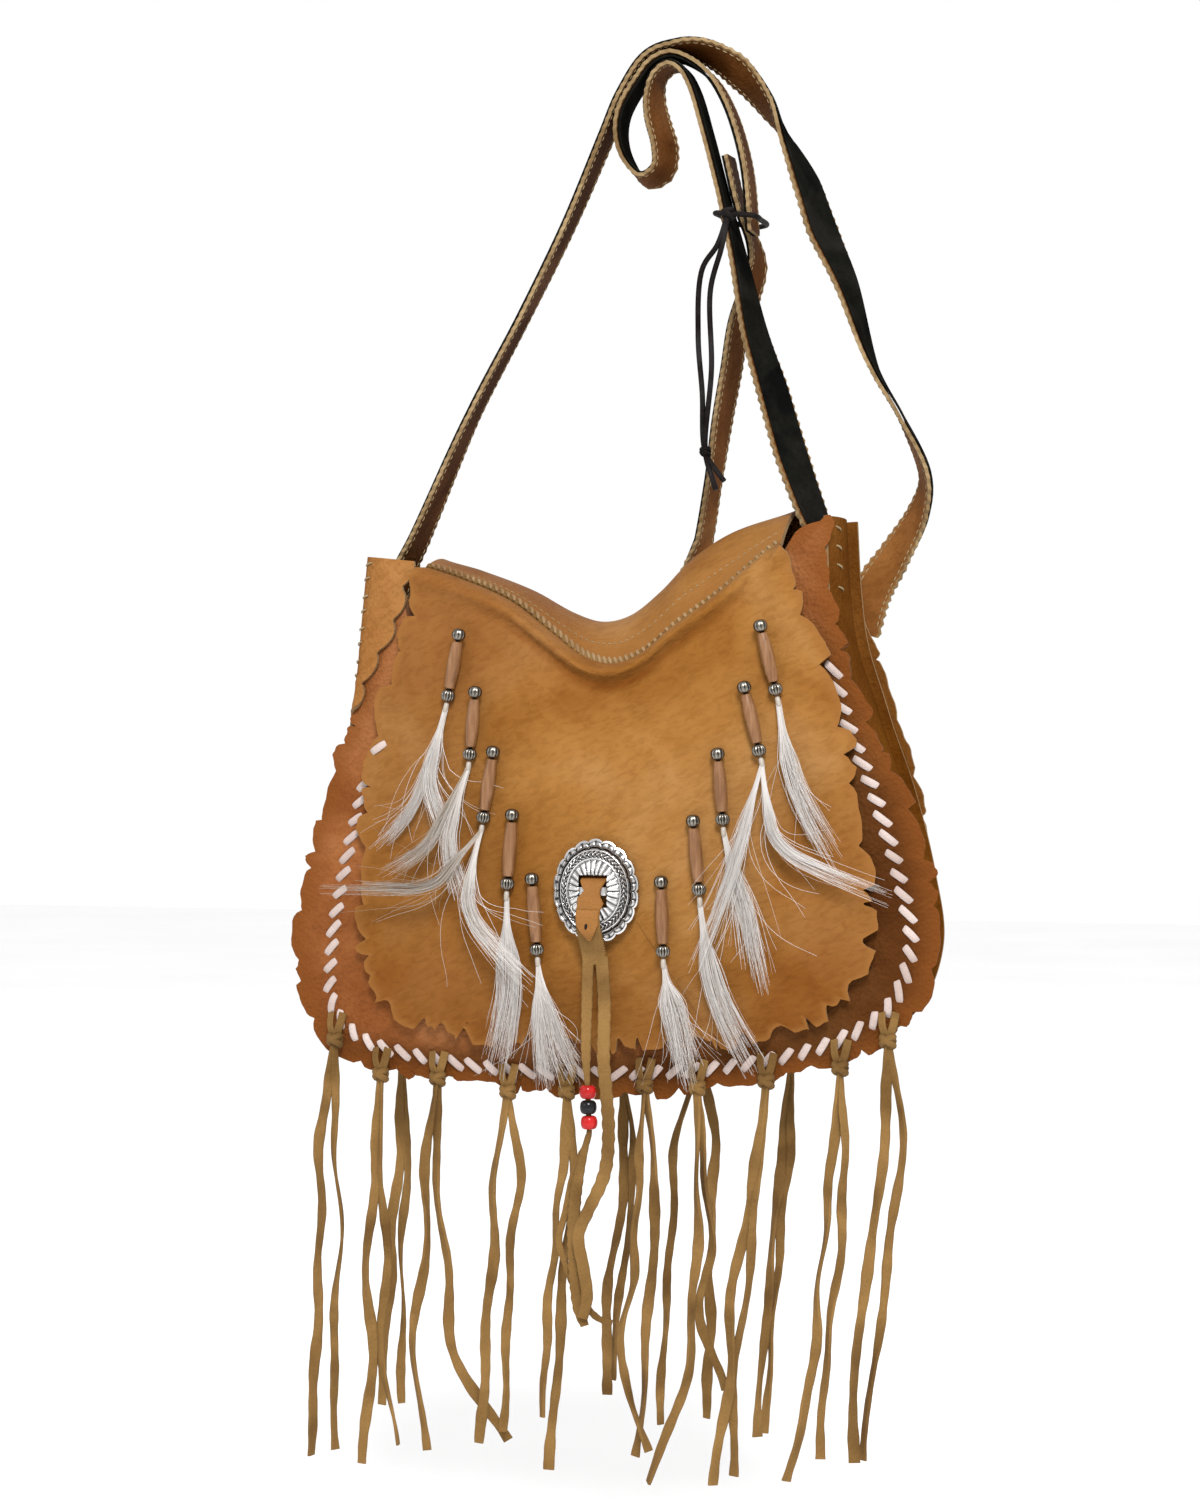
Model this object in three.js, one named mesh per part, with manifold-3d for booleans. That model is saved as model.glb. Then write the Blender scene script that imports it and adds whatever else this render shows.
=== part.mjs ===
// Crossbody saddle bag of soft leather with laced scalloped seams, a saddle-dipped flap, ten hair-pipe drops,
// a concho and a long suede fringe, hanging by its straps from a peg.
// Millimetres, +Z up, +X to the right, -Y to the front; the straps cross the peg just under the origin.
import * as THREE from "three";
import { mergeVertices } from "three/addons/utils/BufferGeometryUtils.js";
import Module from "manifold-3d";

const wasm = await Module();
wasm.setup();

// Leather and gaps
const LEATHER = 1.8;
const GUSSET_LEATHER = 1.6;
const STRAP_LEATHER = 1.7;
const STRAP_LINING = 1.2;
const SUEDE = 1.5;
const GAP = 0.35;

// Body
const BAG_X = -17;
const BODY_CENTRE_Z = -385;
const FRONT_SEAM_Y = -46;
const BACK_SEAM_Y = 2;
const BACK_FOOT_Y = -8;
const BACK_HIGH_Z = -300;
const BACK_LOW_Z = -450;
const FRONT_BULGE = 12;
const BACK_BULGE = 5;
const LIP_SWEEP = 0.14;
const SCALLOP_DEPTH = 3.4;
const FRONT_LOBES = 46;
const BACK_LOBES = 30;
const GUSSET_BULGE = 5;
const GUSSET_SECTIONS = 36;

// Saddle dip, strip over the crest and flap
const STRIP_LENGTH = 56;
const CREST_SET_BACK = 9;
const STRIP_SEAM_Y = -42;
const MOUTH_DROP = 31;
const MOUTH_SLIM = 0.45;
const MOUTH_LOW_Z = -345;
const MOUTH_HIGH_Z = -270;
const MOUTH_EDGE_Z = -246;
const FLAP_STANDOFF = 5.2;
const FLAP_LOBES = 40;
const FLAP_CROWD = 0.3;
const FLAP_CENTRE_Z = -385;
const ROLL_ALLOWANCE = 6;
const STRIP_RIGHT_X = 80;
const STRIP_LEFT_X = -94;

// Straps
const STRAP_WIDTH = 19;

// Hair-pipe drops
const BEAD_RADIUS = 3.3;
const BEAD_HALF = 2.9;
const CORE_RADIUS = 1;
const PIPE_RADIUS = 3.15;
const PIPE_END_RADIUS = 2.4;
const PIPE_BORE = 1.4;
const TURNED_SIDES = 10;
const HEAD_RADIUS = 2.2;
const HEAD_LENGTH = 5;

// Concho
const CONCHO_X = -18.4;
const CONCHO_Z = -396.4;
const CONCHO_HALF_WIDTH = 20.5;
const CONCHO_HALF_HEIGHT = 24;
const CONCHO_THICKNESS = 1.3;
const CONCHO_LOBES = 18;
const CONCHO_STANDOFF = 2.9;
const SLOT_WIDTH = 13.4;
const SLOT_HEIGHT = 5.5;
const SLOT_SPACING = 9.3;

// Pony beads
const PONY_RADIUS = 3.9;
const PONY_HOLE = 1.75;
const PONY_HALF = 3.1;

// Lacing line round the body, from the left ear down, along the bottom and up to the right ear
const SEAM_ROWS = [
  { x: -103, z: -241 },
  { x: -107, z: -275 },
  { x: -113, z: -315 },
  { x: -124, z: -352 },
  { x: -134, z: -392 },
  { x: -140, z: -428 },
  { x: -139, z: -455 },
  { x: -124, z: -470 },
  { x: -92, z: -478 },
  { x: -40, z: -483 },
  { x: 15, z: -482 },
  { x: 66, z: -476 },
  { x: 108, z: -464 },
  { x: 132, z: -447 },
  { x: 141, z: -421 },
  { x: 136, z: -391 },
  { x: 125, z: -354 },
  { x: 112, z: -320 },
  { x: 104, z: -288 },
  { x: 101, z: -255 },
  { x: 100, z: -224 },
];

// Crest of the back panel and pinked seam of the flap across the saddle dip
const DIP_ROWS = [
  { x: -108, crest: -228, seam: -241 },
  { x: -100, crest: -238.5, seam: -243 },
  { x: -75, crest: -247, seam: -251 },
  { x: -50, crest: -256.5, seam: -262 },
  { x: -30, crest: -267, seam: -277 },
  { x: -15, crest: -271, seam: -288 },
  { x: 0, crest: -267, seam: -292 },
  { x: 15, crest: -255, seam: -287 },
  { x: 30, crest: -240, seam: -275 },
  { x: 50, crest: -228, seam: -261 },
  { x: 80, crest: -220, seam: -237 },
  { x: 104, crest: -211, seam: -226 },
];

// Top edge of the front panel where it rises past the flap to the right ear
const MOUTH_RISE_ROWS = [
  { x: 55, z: -291 },
  { x: 80, z: -250 },
  { x: 86, z: -234 },
  { x: 93, z: -228.5 },
  { x: 104, z: -226 },
];

// Rolled lip of the flap: way forward and drop for each distance along the leather from the pinked seam
const ROLL_ROWS = [
  { along: 0, forward: 0, drop: 0 },
  { along: 5, forward: 4.5, drop: 0.4 },
  { along: 10, forward: 8.4, drop: 3.2 },
  { along: 15, forward: 9.6, drop: 7.6 },
  { along: 22, forward: 7.6, drop: 15 },
  { along: 32, forward: 6, drop: 26 },
  { along: 300, forward: 6, drop: 294 },
];

// Free edge of the flap, from its upper left corner round the bottom to its upper right corner
const FLAP_ROWS = [
  { x: -93, z: -243 },
  { x: -98, z: -262 },
  { x: -107, z: -283 },
  { x: -115, z: -309 },
  { x: -120, z: -345 },
  { x: -121, z: -390 },
  { x: -119, z: -428 },
  { x: -104, z: -452 },
  { x: -66, z: -464 },
  { x: 2, z: -468 },
  { x: 70, z: -463 },
  { x: 104, z: -450 },
  { x: 119, z: -430 },
  { x: 121, z: -395 },
  { x: 116, z: -352 },
  { x: 106, z: -310 },
  { x: 96, z: -279 },
  { x: 87, z: -254 },
  { x: 81, z: -234 },
];

// How far the front panel's edge stands out past the lacing
const LIP_ROWS = [
  { at: 0, lip: 13 },
  { at: 0.07, lip: 12.5 },
  { at: 0.085, lip: 9.5 },
  { at: 0.1, lip: 9.5 },
  { at: 0.114, lip: 14 },
  { at: 0.13, lip: 17 },
  { at: 0.155, lip: 17.5 },
  { at: 0.21, lip: 17.5 },
  { at: 0.255, lip: 18.5 },
  { at: 0.28, lip: 16 },
  { at: 0.3, lip: 12.5 },
  { at: 0.33, lip: 10 },
  { at: 0.41, lip: 6 },
  { at: 0.5, lip: 9 },
  { at: 0.57, lip: 7 },
  { at: 0.62, lip: 7 },
  { at: 0.68, lip: 9 },
  { at: 0.75, lip: 12 },
  { at: 0.9, lip: 12 },
  { at: 0.92, lip: 9 },
  { at: 0.94, lip: 4.5 },
  { at: 0.96, lip: 2 },
  { at: 1, lip: 0 },
];

// The same for the back panel
const BACK_LIP_ROWS = [
  { at: 0, lip: 14 },
  { at: 0.3, lip: 13 },
  { at: 0.45, lip: 9 },
  { at: 0.62, lip: 7 },
  { at: 0.7, lip: 5 },
  { at: 0.76, lip: 7.5 },
  { at: 0.82, lip: 12 },
  { at: 0.87, lip: 14.5 },
  { at: 0.915, lip: 11.5 },
  { at: 0.937, lip: 8 },
  { at: 0.95, lip: 5 },
  { at: 0.964, lip: 2.5 },
  { at: 1, lip: 0.5 },
];

// Front edge of the gusset: corner past the lacing, turn of the seam allowance (0 behind the front panel,
// 180 lying on it) and its width
const ALLOWANCE_ROWS = [
  { at: 0, corner: 20, turn: 180, wide: 27, back: 7 },
  { at: 0.045, corner: 19.5, turn: 180, wide: 20, back: 4 },
  { at: 0.07, corner: 18.5, turn: 178, wide: 11, back: 2 },
  { at: 0.082, corner: 18, turn: 165, wide: 6, back: 1 },
  { at: 0.09, corner: 17.8, turn: 90, wide: 2, back: 0 },
  { at: 0.1, corner: 17.6, turn: 0, wide: 2, back: 0 },
  { at: 0.115, corner: 15.5, turn: 0, wide: 2, back: 0 },
  { at: 0.14, corner: 5, turn: 0, wide: 4, back: 0 },
  { at: 0.17, corner: 0, turn: 0, wide: 8, back: 0 },
  { at: 0.65, corner: 0, turn: 0, wide: 8, back: 0 },
  { at: 0.88, corner: 0, turn: 0, wide: 9, back: 6 },
  { at: 0.93, corner: 0, turn: 0, wide: 3, back: 2 },
  { at: 1, corner: 0, turn: 0, wide: 2, back: 0 },
];
const BACK_ALLOWANCE = 8;
const EAR_EASE = 0.6;

// Left strap: up from the left ear, over the peg on top of the others and down to the back right edge
const STRAP_LEFT_ROWS = [
  { x: -135.4, y: -22, z: -268, turn: -16 },
  { x: -132, y: -22, z: -250, turn: -16 },
  { x: -121.5, y: -21, z: -228, turn: -8 },
  { x: -95.5, y: -17, z: -169, turn: 4 },
  { x: -72, y: -12, z: -123, turn: 6 },
  { x: -50, y: -8, z: -78, turn: 4 },
  { x: -32.5, y: -4, z: -36, turn: 0 },
  { x: -23.6, y: -2, z: -14.5, turn: 0 },
  { x: -11.3, y: 0, z: 3.2, turn: 0 },
  { x: 2, y: 0, z: 7.1, turn: -4 },
  { x: 16, y: 0, z: 4.5, turn: -26 },
  { x: 33, y: 0, z: -6.5, turn: -46 },
  { x: 48, y: 0, z: -25, turn: -26 },
  { x: 58, y: -2, z: -43, turn: 6 },
  { x: 67, y: -4, z: -62, turn: 30 },
  { x: 75.5, y: -5, z: -86, turn: 38 },
  { x: 86.5, y: -6, z: -111, turn: 24 },
  { x: 99.5, y: -5, z: -152, turn: -2 },
  { x: 112.5, y: -3, z: -176, turn: -6 },
  { x: 123, y: 2, z: -204, turn: -20 },
  { x: 119, y: 6, z: -220, turn: -40 },
  { x: 107, y: 8.5, z: -240, turn: -62 },
  { x: 97, y: 6.8, z: -256, turn: -88 },
  { x: 91, y: 5.1, z: -276, turn: -90 },
];

// Right strap: up from the right ear, over the peg, round the small loop and over the peg again to its end
const STRAP_RIGHT_ROWS = [
  { x: 85.3, y: -22, z: -256, turn: -11 },
  { x: 81.5, y: -22, z: -240, turn: -16 },
  { x: 73.5, y: -22, z: -220, turn: -34 },
  { x: 63.5, y: -20, z: -193, turn: -42 },
  { x: 53.5, y: -17, z: -161, turn: -38 },
  { x: 44.5, y: -14, z: -134, turn: -26 },
  { x: 36.5, y: -11, z: -101, turn: -10 },
  { x: 28, y: -8, z: -69, turn: 0 },
  { x: 19, y: -4, z: -37, turn: 0 },
  { x: 11, y: 0, z: -13, turn: 0 },
  { x: 6, y: 0, z: -4.5, turn: 0 },
  { x: 0, y: 0, z: -1.5, turn: 0 },
  { x: -7, y: 0, z: -6.5, turn: 4 },
  { x: -9, y: 0, z: -16, turn: 14 },
  { x: -7, y: -2, z: -28, turn: 24 },
  { x: -3, y: -4, z: -42, turn: 26 },
  { x: -4, y: -5, z: -53, turn: 18 },
  { x: -12, y: -5, z: -57, turn: 8 },
  { x: -20, y: -5, z: -48, turn: 0 },
  { x: -24, y: -4, z: -36, turn: 0 },
  { x: -23, y: -3, z: -24, turn: 0 },
  { x: -15, y: 0, z: -8.5, turn: 0 },
  { x: -8, y: 0, z: -0.5, turn: 0 },
  { x: 1, y: 0, z: 2.5, turn: 0 },
  { x: 11, y: 0, z: -1.5, turn: 0 },
  { x: 21, y: -2, z: -10.5, turn: 0 },
  { x: 29, y: -4, z: -24, turn: 0 },
  { x: 35.5, y: -6, z: -42, turn: 0 },
  { x: 39.5, y: -8, z: -60, turn: 0 },
  { x: 41.5, y: -8, z: -86, turn: 0 },
];

// Back strap: from the black lace down behind the crest to the back panel
const STRAP_BACK_ROWS = [
  { x: 28.5, y: -3, z: -48, turn: 0 },
  { x: 33.5, y: -1, z: -71, turn: 0 },
  { x: 37.3, y: 8.4, z: -86, turn: 0 },
  { x: 38.4, y: 13.5, z: -98, turn: 12 },
  { x: 34.5, y: 13, z: -112, turn: 18 },
  { x: 29.5, y: 13, z: -126, turn: 14 },
  { x: 26, y: 13, z: -147, turn: 14 },
  { x: 21, y: 14, z: -173, turn: 12 },
  { x: 17, y: 14, z: -200, turn: 6 },
  { x: 12, y: 14, z: -230, turn: 8 },
  { x: 7, y: 13, z: -252, turn: 45 },
  { x: 5, y: 8.4, z: -270, turn: 84 },
  { x: 4, y: 7.9, z: -296, turn: 90 },
];

// Hair-pipe drops: middle of the upper and lower bead; sink is how deep a drop lies in the soft flap
const DROP_ROWS = [
  { name: "left_1", top_x: -88, top_z: -277.4, low_x: -93.3, low_z: -306 },
  { name: "left_2", top_x: -78.7, top_z: -304.5, low_x: -81.4, low_z: -333.6 },
  { name: "left_3", top_x: -69.4, top_z: -332.5, low_x: -74.1, low_z: -363 },
  { name: "left_4", top_x: -59.6, top_z: -361.8, low_x: -61.9, low_z: -393.8 },
  { name: "left_5", top_x: -49.8, top_z: -391.4, low_x: -47.3, low_z: -424.1 },
  { name: "right_1", top_x: 56.9, top_z: -275, low_x: 63.9, low_z: -304 },
  { name: "right_2", top_x: 50, top_z: -303, low_x: 56.9, low_z: -331.8 },
  { name: "right_3", top_x: 38.3, top_z: -333.4, low_x: 40.7, low_z: -363.2 },
  { name: "right_4", top_x: 27.1, top_z: -364, low_x: 29.9, low_z: -395.3 },
  { name: "right_5", top_x: 12, top_z: -392, low_x: 13, low_z: -423.8, sink: 0.7 },
];

// Hair locks: sideways way and drop from the tassel's head to a middle point and to the tip, width at the
// middle, and lift off the flap
const LOCK_ROWS = [
  { drop: "left_1", mid_x: -8, mid_drop: 34, tip_x: 6, tip_drop: 70, wide: 6, lift: 6 },
  { drop: "left_1", mid_x: -14, mid_drop: 46, tip_x: -37, tip_drop: 68, wide: 4, lift: 6 },
  { drop: "left_2", mid_x: -8, mid_drop: 36, tip_x: 1, tip_drop: 70, wide: 6, lift: 11 },
  { drop: "left_2", mid_x: -17, mid_drop: 36, tip_x: -48, tip_drop: 53, wide: 4, lift: 11 },
  { drop: "left_3", mid_x: -3, mid_drop: 38, tip_x: 33, tip_drop: 74, wide: 6, lift: 15 },
  { drop: "left_3", mid_x: -20, mid_drop: 27, tip_x: -80, tip_drop: 28, wide: 4, lift: 15 },
  { drop: "left_4", mid_x: 1, mid_drop: 42, tip_x: -9, tip_drop: 86, wide: 12, lift: 6 },
  { drop: "left_5", mid_x: 1, mid_drop: 36, tip_x: 4, tip_drop: 62, wide: 12, lift: 10 },
  { drop: "left_5", mid_x: 9, mid_drop: 32, tip_x: 21, tip_drop: 58, wide: 6, lift: 10 },
  { drop: "right_1", mid_x: 8, mid_drop: 38, tip_x: 29, tip_drop: 78, wide: 7, lift: 6 },
  { drop: "right_2", mid_x: 9, mid_drop: 38, tip_x: 60, tip_drop: 60, wide: 5, lift: 11 },
  { drop: "right_2", mid_x: -9, mid_drop: 42, tip_x: -30, tip_drop: 98, wide: 6, lift: 11 },
  { drop: "right_3", mid_x: 10, mid_drop: 34, tip_x: 17, tip_drop: 74, wide: 9, lift: 6 },
  { drop: "right_4", mid_x: 7, mid_drop: 40, tip_x: 24, tip_drop: 78, wide: 9, lift: 6 },
  { drop: "right_5", mid_x: 5, mid_drop: 26, tip_x: 12, tip_drop: 58, wide: 14, lift: 7 },
];

// Relief of the concho from its middle to its rim
const CONCHO_ROWS = [
  { share: 0, height: 6 },
  { share: 0.36, height: 6.2 },
  { share: 0.58, height: 4.6 },
  { share: 0.7, height: 4.9 },
  { share: 0.84, height: 2.4 },
  { share: 1, height: 0.4 },
];

// Concho thong: behind the concho, out of the upper slot, over the bar and the lower rim and down; shift and
// z count from the concho's middle
const THONG_ROWS = [
  { shift: 0, z: 10.4, out: 0, wide: 11.8 },
  { shift: 0, z: 6.9, out: 2.2, wide: 11.8 },
  { shift: 0, z: 4.6, out: 8.2, wide: 11.6 },
  { shift: 0, z: 2, out: 9.9, wide: 10 },
  { shift: 0, z: 0, out: 10.2, wide: 9 },
  { shift: -0.4, z: -3, out: 10.2, wide: 10.4 },
  { shift: -1.2, z: -6, out: 10.2, wide: 11.4 },
  { shift: -2, z: -10, out: 10.1, wide: 11.6 },
  { shift: -2, z: -14, out: 9.7, wide: 11.6 },
  { shift: -1.9, z: -17.5, out: 9.2, wide: 11.6 },
  { shift: -1.8, z: -21, out: 7, wide: 11.6 },
  { shift: -1.6, z: -25, out: 4.6, wide: 11.6 },
  { shift: -1.4, z: -29, out: 2.4, wide: 11.6 },
  { shift: -1.2, z: -34, out: 1.6, wide: 11.2 },
];

// Pointed end of the thong lying on it below the lower slot
const POINT_ROWS = [
  { shift: -2, z: -8.6, out: 10.9, wide: 10.4 },
  { shift: -2, z: -11, out: 11.3, wide: 11 },
  { shift: -2, z: -15.5, out: 10.8, wide: 10.6 },
  { shift: -1.9, z: -18.5, out: 10.2, wide: 7.4 },
  { shift: -1.8, z: -22.5, out: 7.5, wide: 1.6 },
];

// Tails of the thong: the left one thins to a lace through the pony beads, a wider strip leaves below them
const LEFT_TAIL_ROWS = [
  { x: -22.6, z: -427, out: 1.7, wide: 5.4 },
  { x: -22.9, z: -447, out: 2.6, wide: 5.2 },
  { x: -22.4, z: -472, out: 6, wide: 4.4 },
  { x: -21.8, z: -484, out: 6, wide: 2.4 },
  { x: -21.3, z: -495.8, out: 6, wide: 2.4 },
  { x: -21.2, z: -510, out: 6, wide: 2.4 },
  { x: -25, z: -518, out: 6, wide: 2.8 },
  { x: -28.5, z: -527, out: 6, wide: 3 },
  { x: -32.5, z: -545, out: 5.5, wide: 3.2 },
  { x: -35.8, z: -558, out: 5, wide: 3.2 },
  { x: -32.5, z: -568.5, out: 5, wide: 3.2 },
  { x: -27.1, z: -581, out: 5, wide: 3.2 },
  { x: -17.4, z: -592.5, out: 5, wide: 3 },
  { x: -10.2, z: -594.5, out: 5, wide: 2.6 },
];
const LOWER_TAIL_ROWS = [
  { x: -21.3, z: -508.5, out: 6.2, wide: 2.4 },
  { x: -26.1, z: -531, out: 7.8, wide: 5.4 },
  { x: -27.7, z: -548, out: 8, wide: 6 },
  { x: -27.1, z: -570, out: 8, wide: 6 },
  { x: -25.3, z: -588, out: 8, wide: 5.4 },
  { x: -22.4, z: -596, out: 8, wide: 4 },
];
const RIGHT_TAIL_ROWS = [
  { x: -16.2, z: -427, out: 1.7, wide: 6 },
  { x: -14.6, z: -447, out: 2.6, wide: 6 },
  { x: -14, z: -474, out: 6, wide: 6 },
  { x: -13.2, z: -484, out: 6, wide: 6 },
  { x: -11.6, z: -507, out: 6, wide: 6 },
  { x: -13.2, z: -526, out: 7.5, wide: 6 },
  { x: -20.5, z: -543.5, out: 10.2, wide: 5.6 },
  { x: -24.7, z: -554, out: 10.6, wide: 5.6 },
  { x: -22.2, z: -569.5, out: 10.6, wide: 5.6 },
  { x: -20.5, z: -582, out: 10.6, wide: 5.4 },
  { x: -22.7, z: -592, out: 10.6, wide: 5 },
];
const PONY_ROWS = [
  { name: "pony_bead_1", z: -488.8, colour: 0x9c1f16 },
  { name: "pony_bead_2", z: -495.8, colour: 0x16110f },
  { name: "pony_bead_3", z: -502.8, colour: 0x9c1f16 },
];

// Fringe: knots along the front seam and the back seam
const KNOT_ROWS = [
  { name: "fringe_front_1", x: -154, z: -471, side: "front" },
  { name: "fringe_front_2", x: -131, z: -487, side: "front" },
  { name: "fringe_front_3", x: -102, z: -488, side: "front" },
  { name: "fringe_front_4", x: -67, z: -493, side: "front" },
  { name: "fringe_front_5", x: -38, z: -492, side: "front" },
  { name: "fringe_front_6", x: 0, z: -488, side: "front" },
  { name: "fringe_front_7", x: 25, z: -488, side: "front" },
  { name: "fringe_front_8", x: 57.6, z: -484, side: "front" },
  { name: "fringe_front_9", x: 92, z: -477, side: "front" },
  { name: "fringe_front_10", x: 114, z: -464, side: "front" },
  { name: "fringe_back_1", x: -137, z: -480, side: "back" },
  { name: "fringe_back_2", x: -24, z: -489, side: "back" },
  { name: "fringe_back_3", x: 15, z: -478, side: "back" },
  { name: "fringe_back_4", x: 59.5, z: -480, side: "back" },
];
const KNOT_RADIUS = 4;

// Fringe strips: X at a quarter, half and three quarters of the drop and at the foot, height of the foot, way
// in or out at the foot, width and twist
const STRIP_ROWS = [
  { knot: "front_1", quarter: -161, half: -161, most: -163, end: -165, low: -670, out: 3, wide: 7, twist: 60 },
  { knot: "front_1", quarter: -154, half: -152, most: -156, end: -155, low: -668, out: -4, wide: 6, twist: 100 },
  { knot: "front_2", quarter: -134, half: -137, most: -135, end: -139, low: -672, out: 3, wide: 7, twist: 80 },
  { knot: "front_2", quarter: -131, half: -129, most: -131, end: -124, low: -664, out: -3, wide: 6, twist: 120 },
  { knot: "front_3", quarter: -108, half: -108, most: -114, end: -106, low: -664, out: 2, wide: 7, twist: 70 },
  { knot: "front_3", quarter: -103, half: -99, most: -96, end: -70, low: -659, out: -8, wide: 7, twist: 105 },
  { knot: "front_4", quarter: -73, half: -74, most: -77, end: -79, low: -658, out: 5, wide: 7, twist: 90 },
  { knot: "front_4", quarter: -61, half: -66, most: -67, end: -69, low: -653, out: 1, wide: 6, twist: 60 },
  { knot: "front_5", quarter: -40, half: -44, most: -47, end: -49, low: -644, out: 3, wide: 6, twist: 110 },
  { knot: "front_5", quarter: -35, half: -40, most: -44, end: -47, low: -670, out: -4, wide: 7, twist: 80 },
  { knot: "front_6", quarter: -3, half: -5, most: -11, end: 2, low: -657, out: 1, wide: 6, twist: 70 },
  { knot: "front_6", quarter: 5, half: 2, most: -1, end: -6, low: -662, out: -7, wide: 7, twist: 100 },
  { knot: "front_7", quarter: 26, half: 25, most: 21, end: 4, low: -669, out: 10, wide: 7, twist: 90 },
  { knot: "front_7", quarter: 28, half: 31, most: 26, end: 37, low: -628, out: -5, wide: 6, twist: 120 },
  { knot: "front_8", quarter: 52, half: 43, most: 41, end: 34, low: -669, out: 6, wide: 7, twist: 80 },
  { knot: "front_8", quarter: 54, half: 49, most: 43, end: 42, low: -666, out: 1, wide: 6, twist: 60 },
  { knot: "front_9", quarter: 88, half: 83, most: 79, end: 68, low: -666, out: 3, wide: 7, twist: 100 },
  { knot: "front_9", quarter: 94, half: 91, most: 85, end: 82, low: -656, out: -3, wide: 6, twist: 80 },
  { knot: "front_10", quarter: 112, half: 107, most: 99, end: 100, low: -655, out: 3, wide: 7, twist: 70 },
  { knot: "front_10", quarter: 121, half: 114, most: 108, end: 102, low: -655, out: -3, wide: 6, twist: 110 },
  { knot: "back_1", quarter: -138, half: -141, most: -144, end: -147, low: -655, out: -3, wide: 7, twist: 80 },
  { knot: "back_1", quarter: -135, half: -137, most: -138, end: -138, low: -655, out: 3, wide: 6, twist: 110 },
  { knot: "back_2", quarter: -23, half: -26, most: -32, end: -30, low: -643, out: -3, wide: 7, twist: 90 },
  { knot: "back_2", quarter: -18, half: -22, most: -26, end: -31, low: -637, out: 3, wide: 6, twist: 70 },
  { knot: "back_3", quarter: 22, half: 20, most: 20, end: 18, low: -651, out: -3, wide: 7, twist: 100 },
  { knot: "back_3", quarter: 2, half: 0, most: -4, end: -6, low: -657, out: 3, wide: 6, twist: 80 },
  { knot: "back_4", quarter: 54, half: 51, most: 46, end: 44, low: -658, out: -3, wide: 7, twist: 75 },
  { knot: "back_4", quarter: 58, half: 53, most: 49, end: 46, low: -658, out: 3, wide: 6, twist: 105 },
];

// Black lace: round the straps, knotted in front of them, and two strands hanging to an end knot
const LACE_RADIUS = 1.3;
const LACE_WRAP_ROWS = [
  { x: 27, y: -20.8, z: -78 },
  { x: 35, y: -21.9, z: -79 },
  { x: 44.8, y: -20.5, z: -80 },
  { x: 45.8, y: -8, z: -80 },
  { x: 44, y: 11, z: -79 },
  { x: 35.5, y: 19, z: -78 },
  { x: 28, y: 11, z: -77 },
  { x: 26.2, y: -8, z: -77 },
];
const LACE_STRAND_ROWS = [
  { strand: "long", x: 33, y: -22, z: -79 },
  { strand: "long", x: 28, y: -22, z: -93 },
  { strand: "long", x: 20, y: -20, z: -104 },
  { strand: "long", x: 17.5, y: -18, z: -135 },
  { strand: "long", x: 19, y: -16, z: -162 },
  { strand: "long", x: 20, y: -14, z: -190 },
  { strand: "long", x: 26, y: -13, z: -200 },
  { strand: "long", x: 29, y: -13, z: -204 },
  { strand: "short", x: 33, y: -22, z: -79 },
  { strand: "short", x: 30, y: -22, z: -94 },
  { strand: "short", x: 24, y: -20, z: -114 },
  { strand: "short", x: 24, y: -18, z: -151 },
  { strand: "short", x: 20, y: -14, z: -190 },
  { strand: "short", x: 23, y: -13, z: -202 },
  { strand: "short", x: 25, y: -13, z: -208 },
];

// Small number helpers
const clamp = (value, low, high) => Math.min(Math.max(value, low), high);
const mix = (a, b, share) => a + (b - a) * share;
const degrees = (angle) => (angle * Math.PI) / 180;
const smooth = (value, low, high) => {
  const share = clamp((value - low) / (high - low), 0, 1);
  return share * share * (3 - 2 * share);
};

// A smooth curve through one column of a table, read at a value of its key column
function reader(rows, key, column) {
  const last = rows.length - 1;
  const slope = (i) => {
    const before = rows[Math.max(i - 1, 0)];
    const after = rows[Math.min(i + 1, last)];
    return (after[column] - before[column]) / (after[key] - before[key]);
  };
  return (value) => {
    let i = 0;
    while (i < last - 1 && value > rows[i + 1][key]) i += 1;
    const span = rows[i + 1][key] - rows[i][key];
    const t = clamp((value - rows[i][key]) / span, 0, 1);
    const rest = 1 - t;
    const a = rows[i][column] * (1 + 2 * t) * rest * rest;
    const b = rows[i + 1][column] * (3 - 2 * t) * t * t;
    const bend = slope(i) * t * rest * rest - slope(i + 1) * t * t * rest;
    return a + b + bend * span;
  };
}

// A column of a table read along its rows, 0 at the first and 1 at the last
function columnAlong(rows, column, share) {
  const place = clamp(share, 0, 1) * (rows.length - 1);
  const i = Math.min(Math.floor(place), rows.length - 2);
  return mix(rows[i][column], rows[i + 1][column], place - i);
}

// An outline in the plane of X and Z as a curve
function outlineCurve(rows) {
  const points = rows.map((row) => new THREE.Vector3(BAG_X + row.x, 0, row.z));
  const curve = new THREE.CatmullRomCurve3(points, false, "centripetal");
  curve.arcLengthDivisions = 400;
  return curve;
}

// A point of an outline moved outwards in its plane
function movedOut(curve, share, out) {
  const at = clamp(share, 0, 1);
  const point = curve.getPointAt(at);
  const along = curve.getTangentAt(at);
  return { x: point.x + along.z * out, z: point.z - along.x * out };
}

// Solids
function geometryOf(points, triangles) {
  const geometry = new THREE.BufferGeometry();
  const flat = points.flatMap((point) => [point.x, point.y, point.z]);
  geometry.setAttribute("position", new THREE.Float32BufferAttribute(flat, 3));
  geometry.setIndex(triangles.flat());
  return geometry;
}

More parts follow.
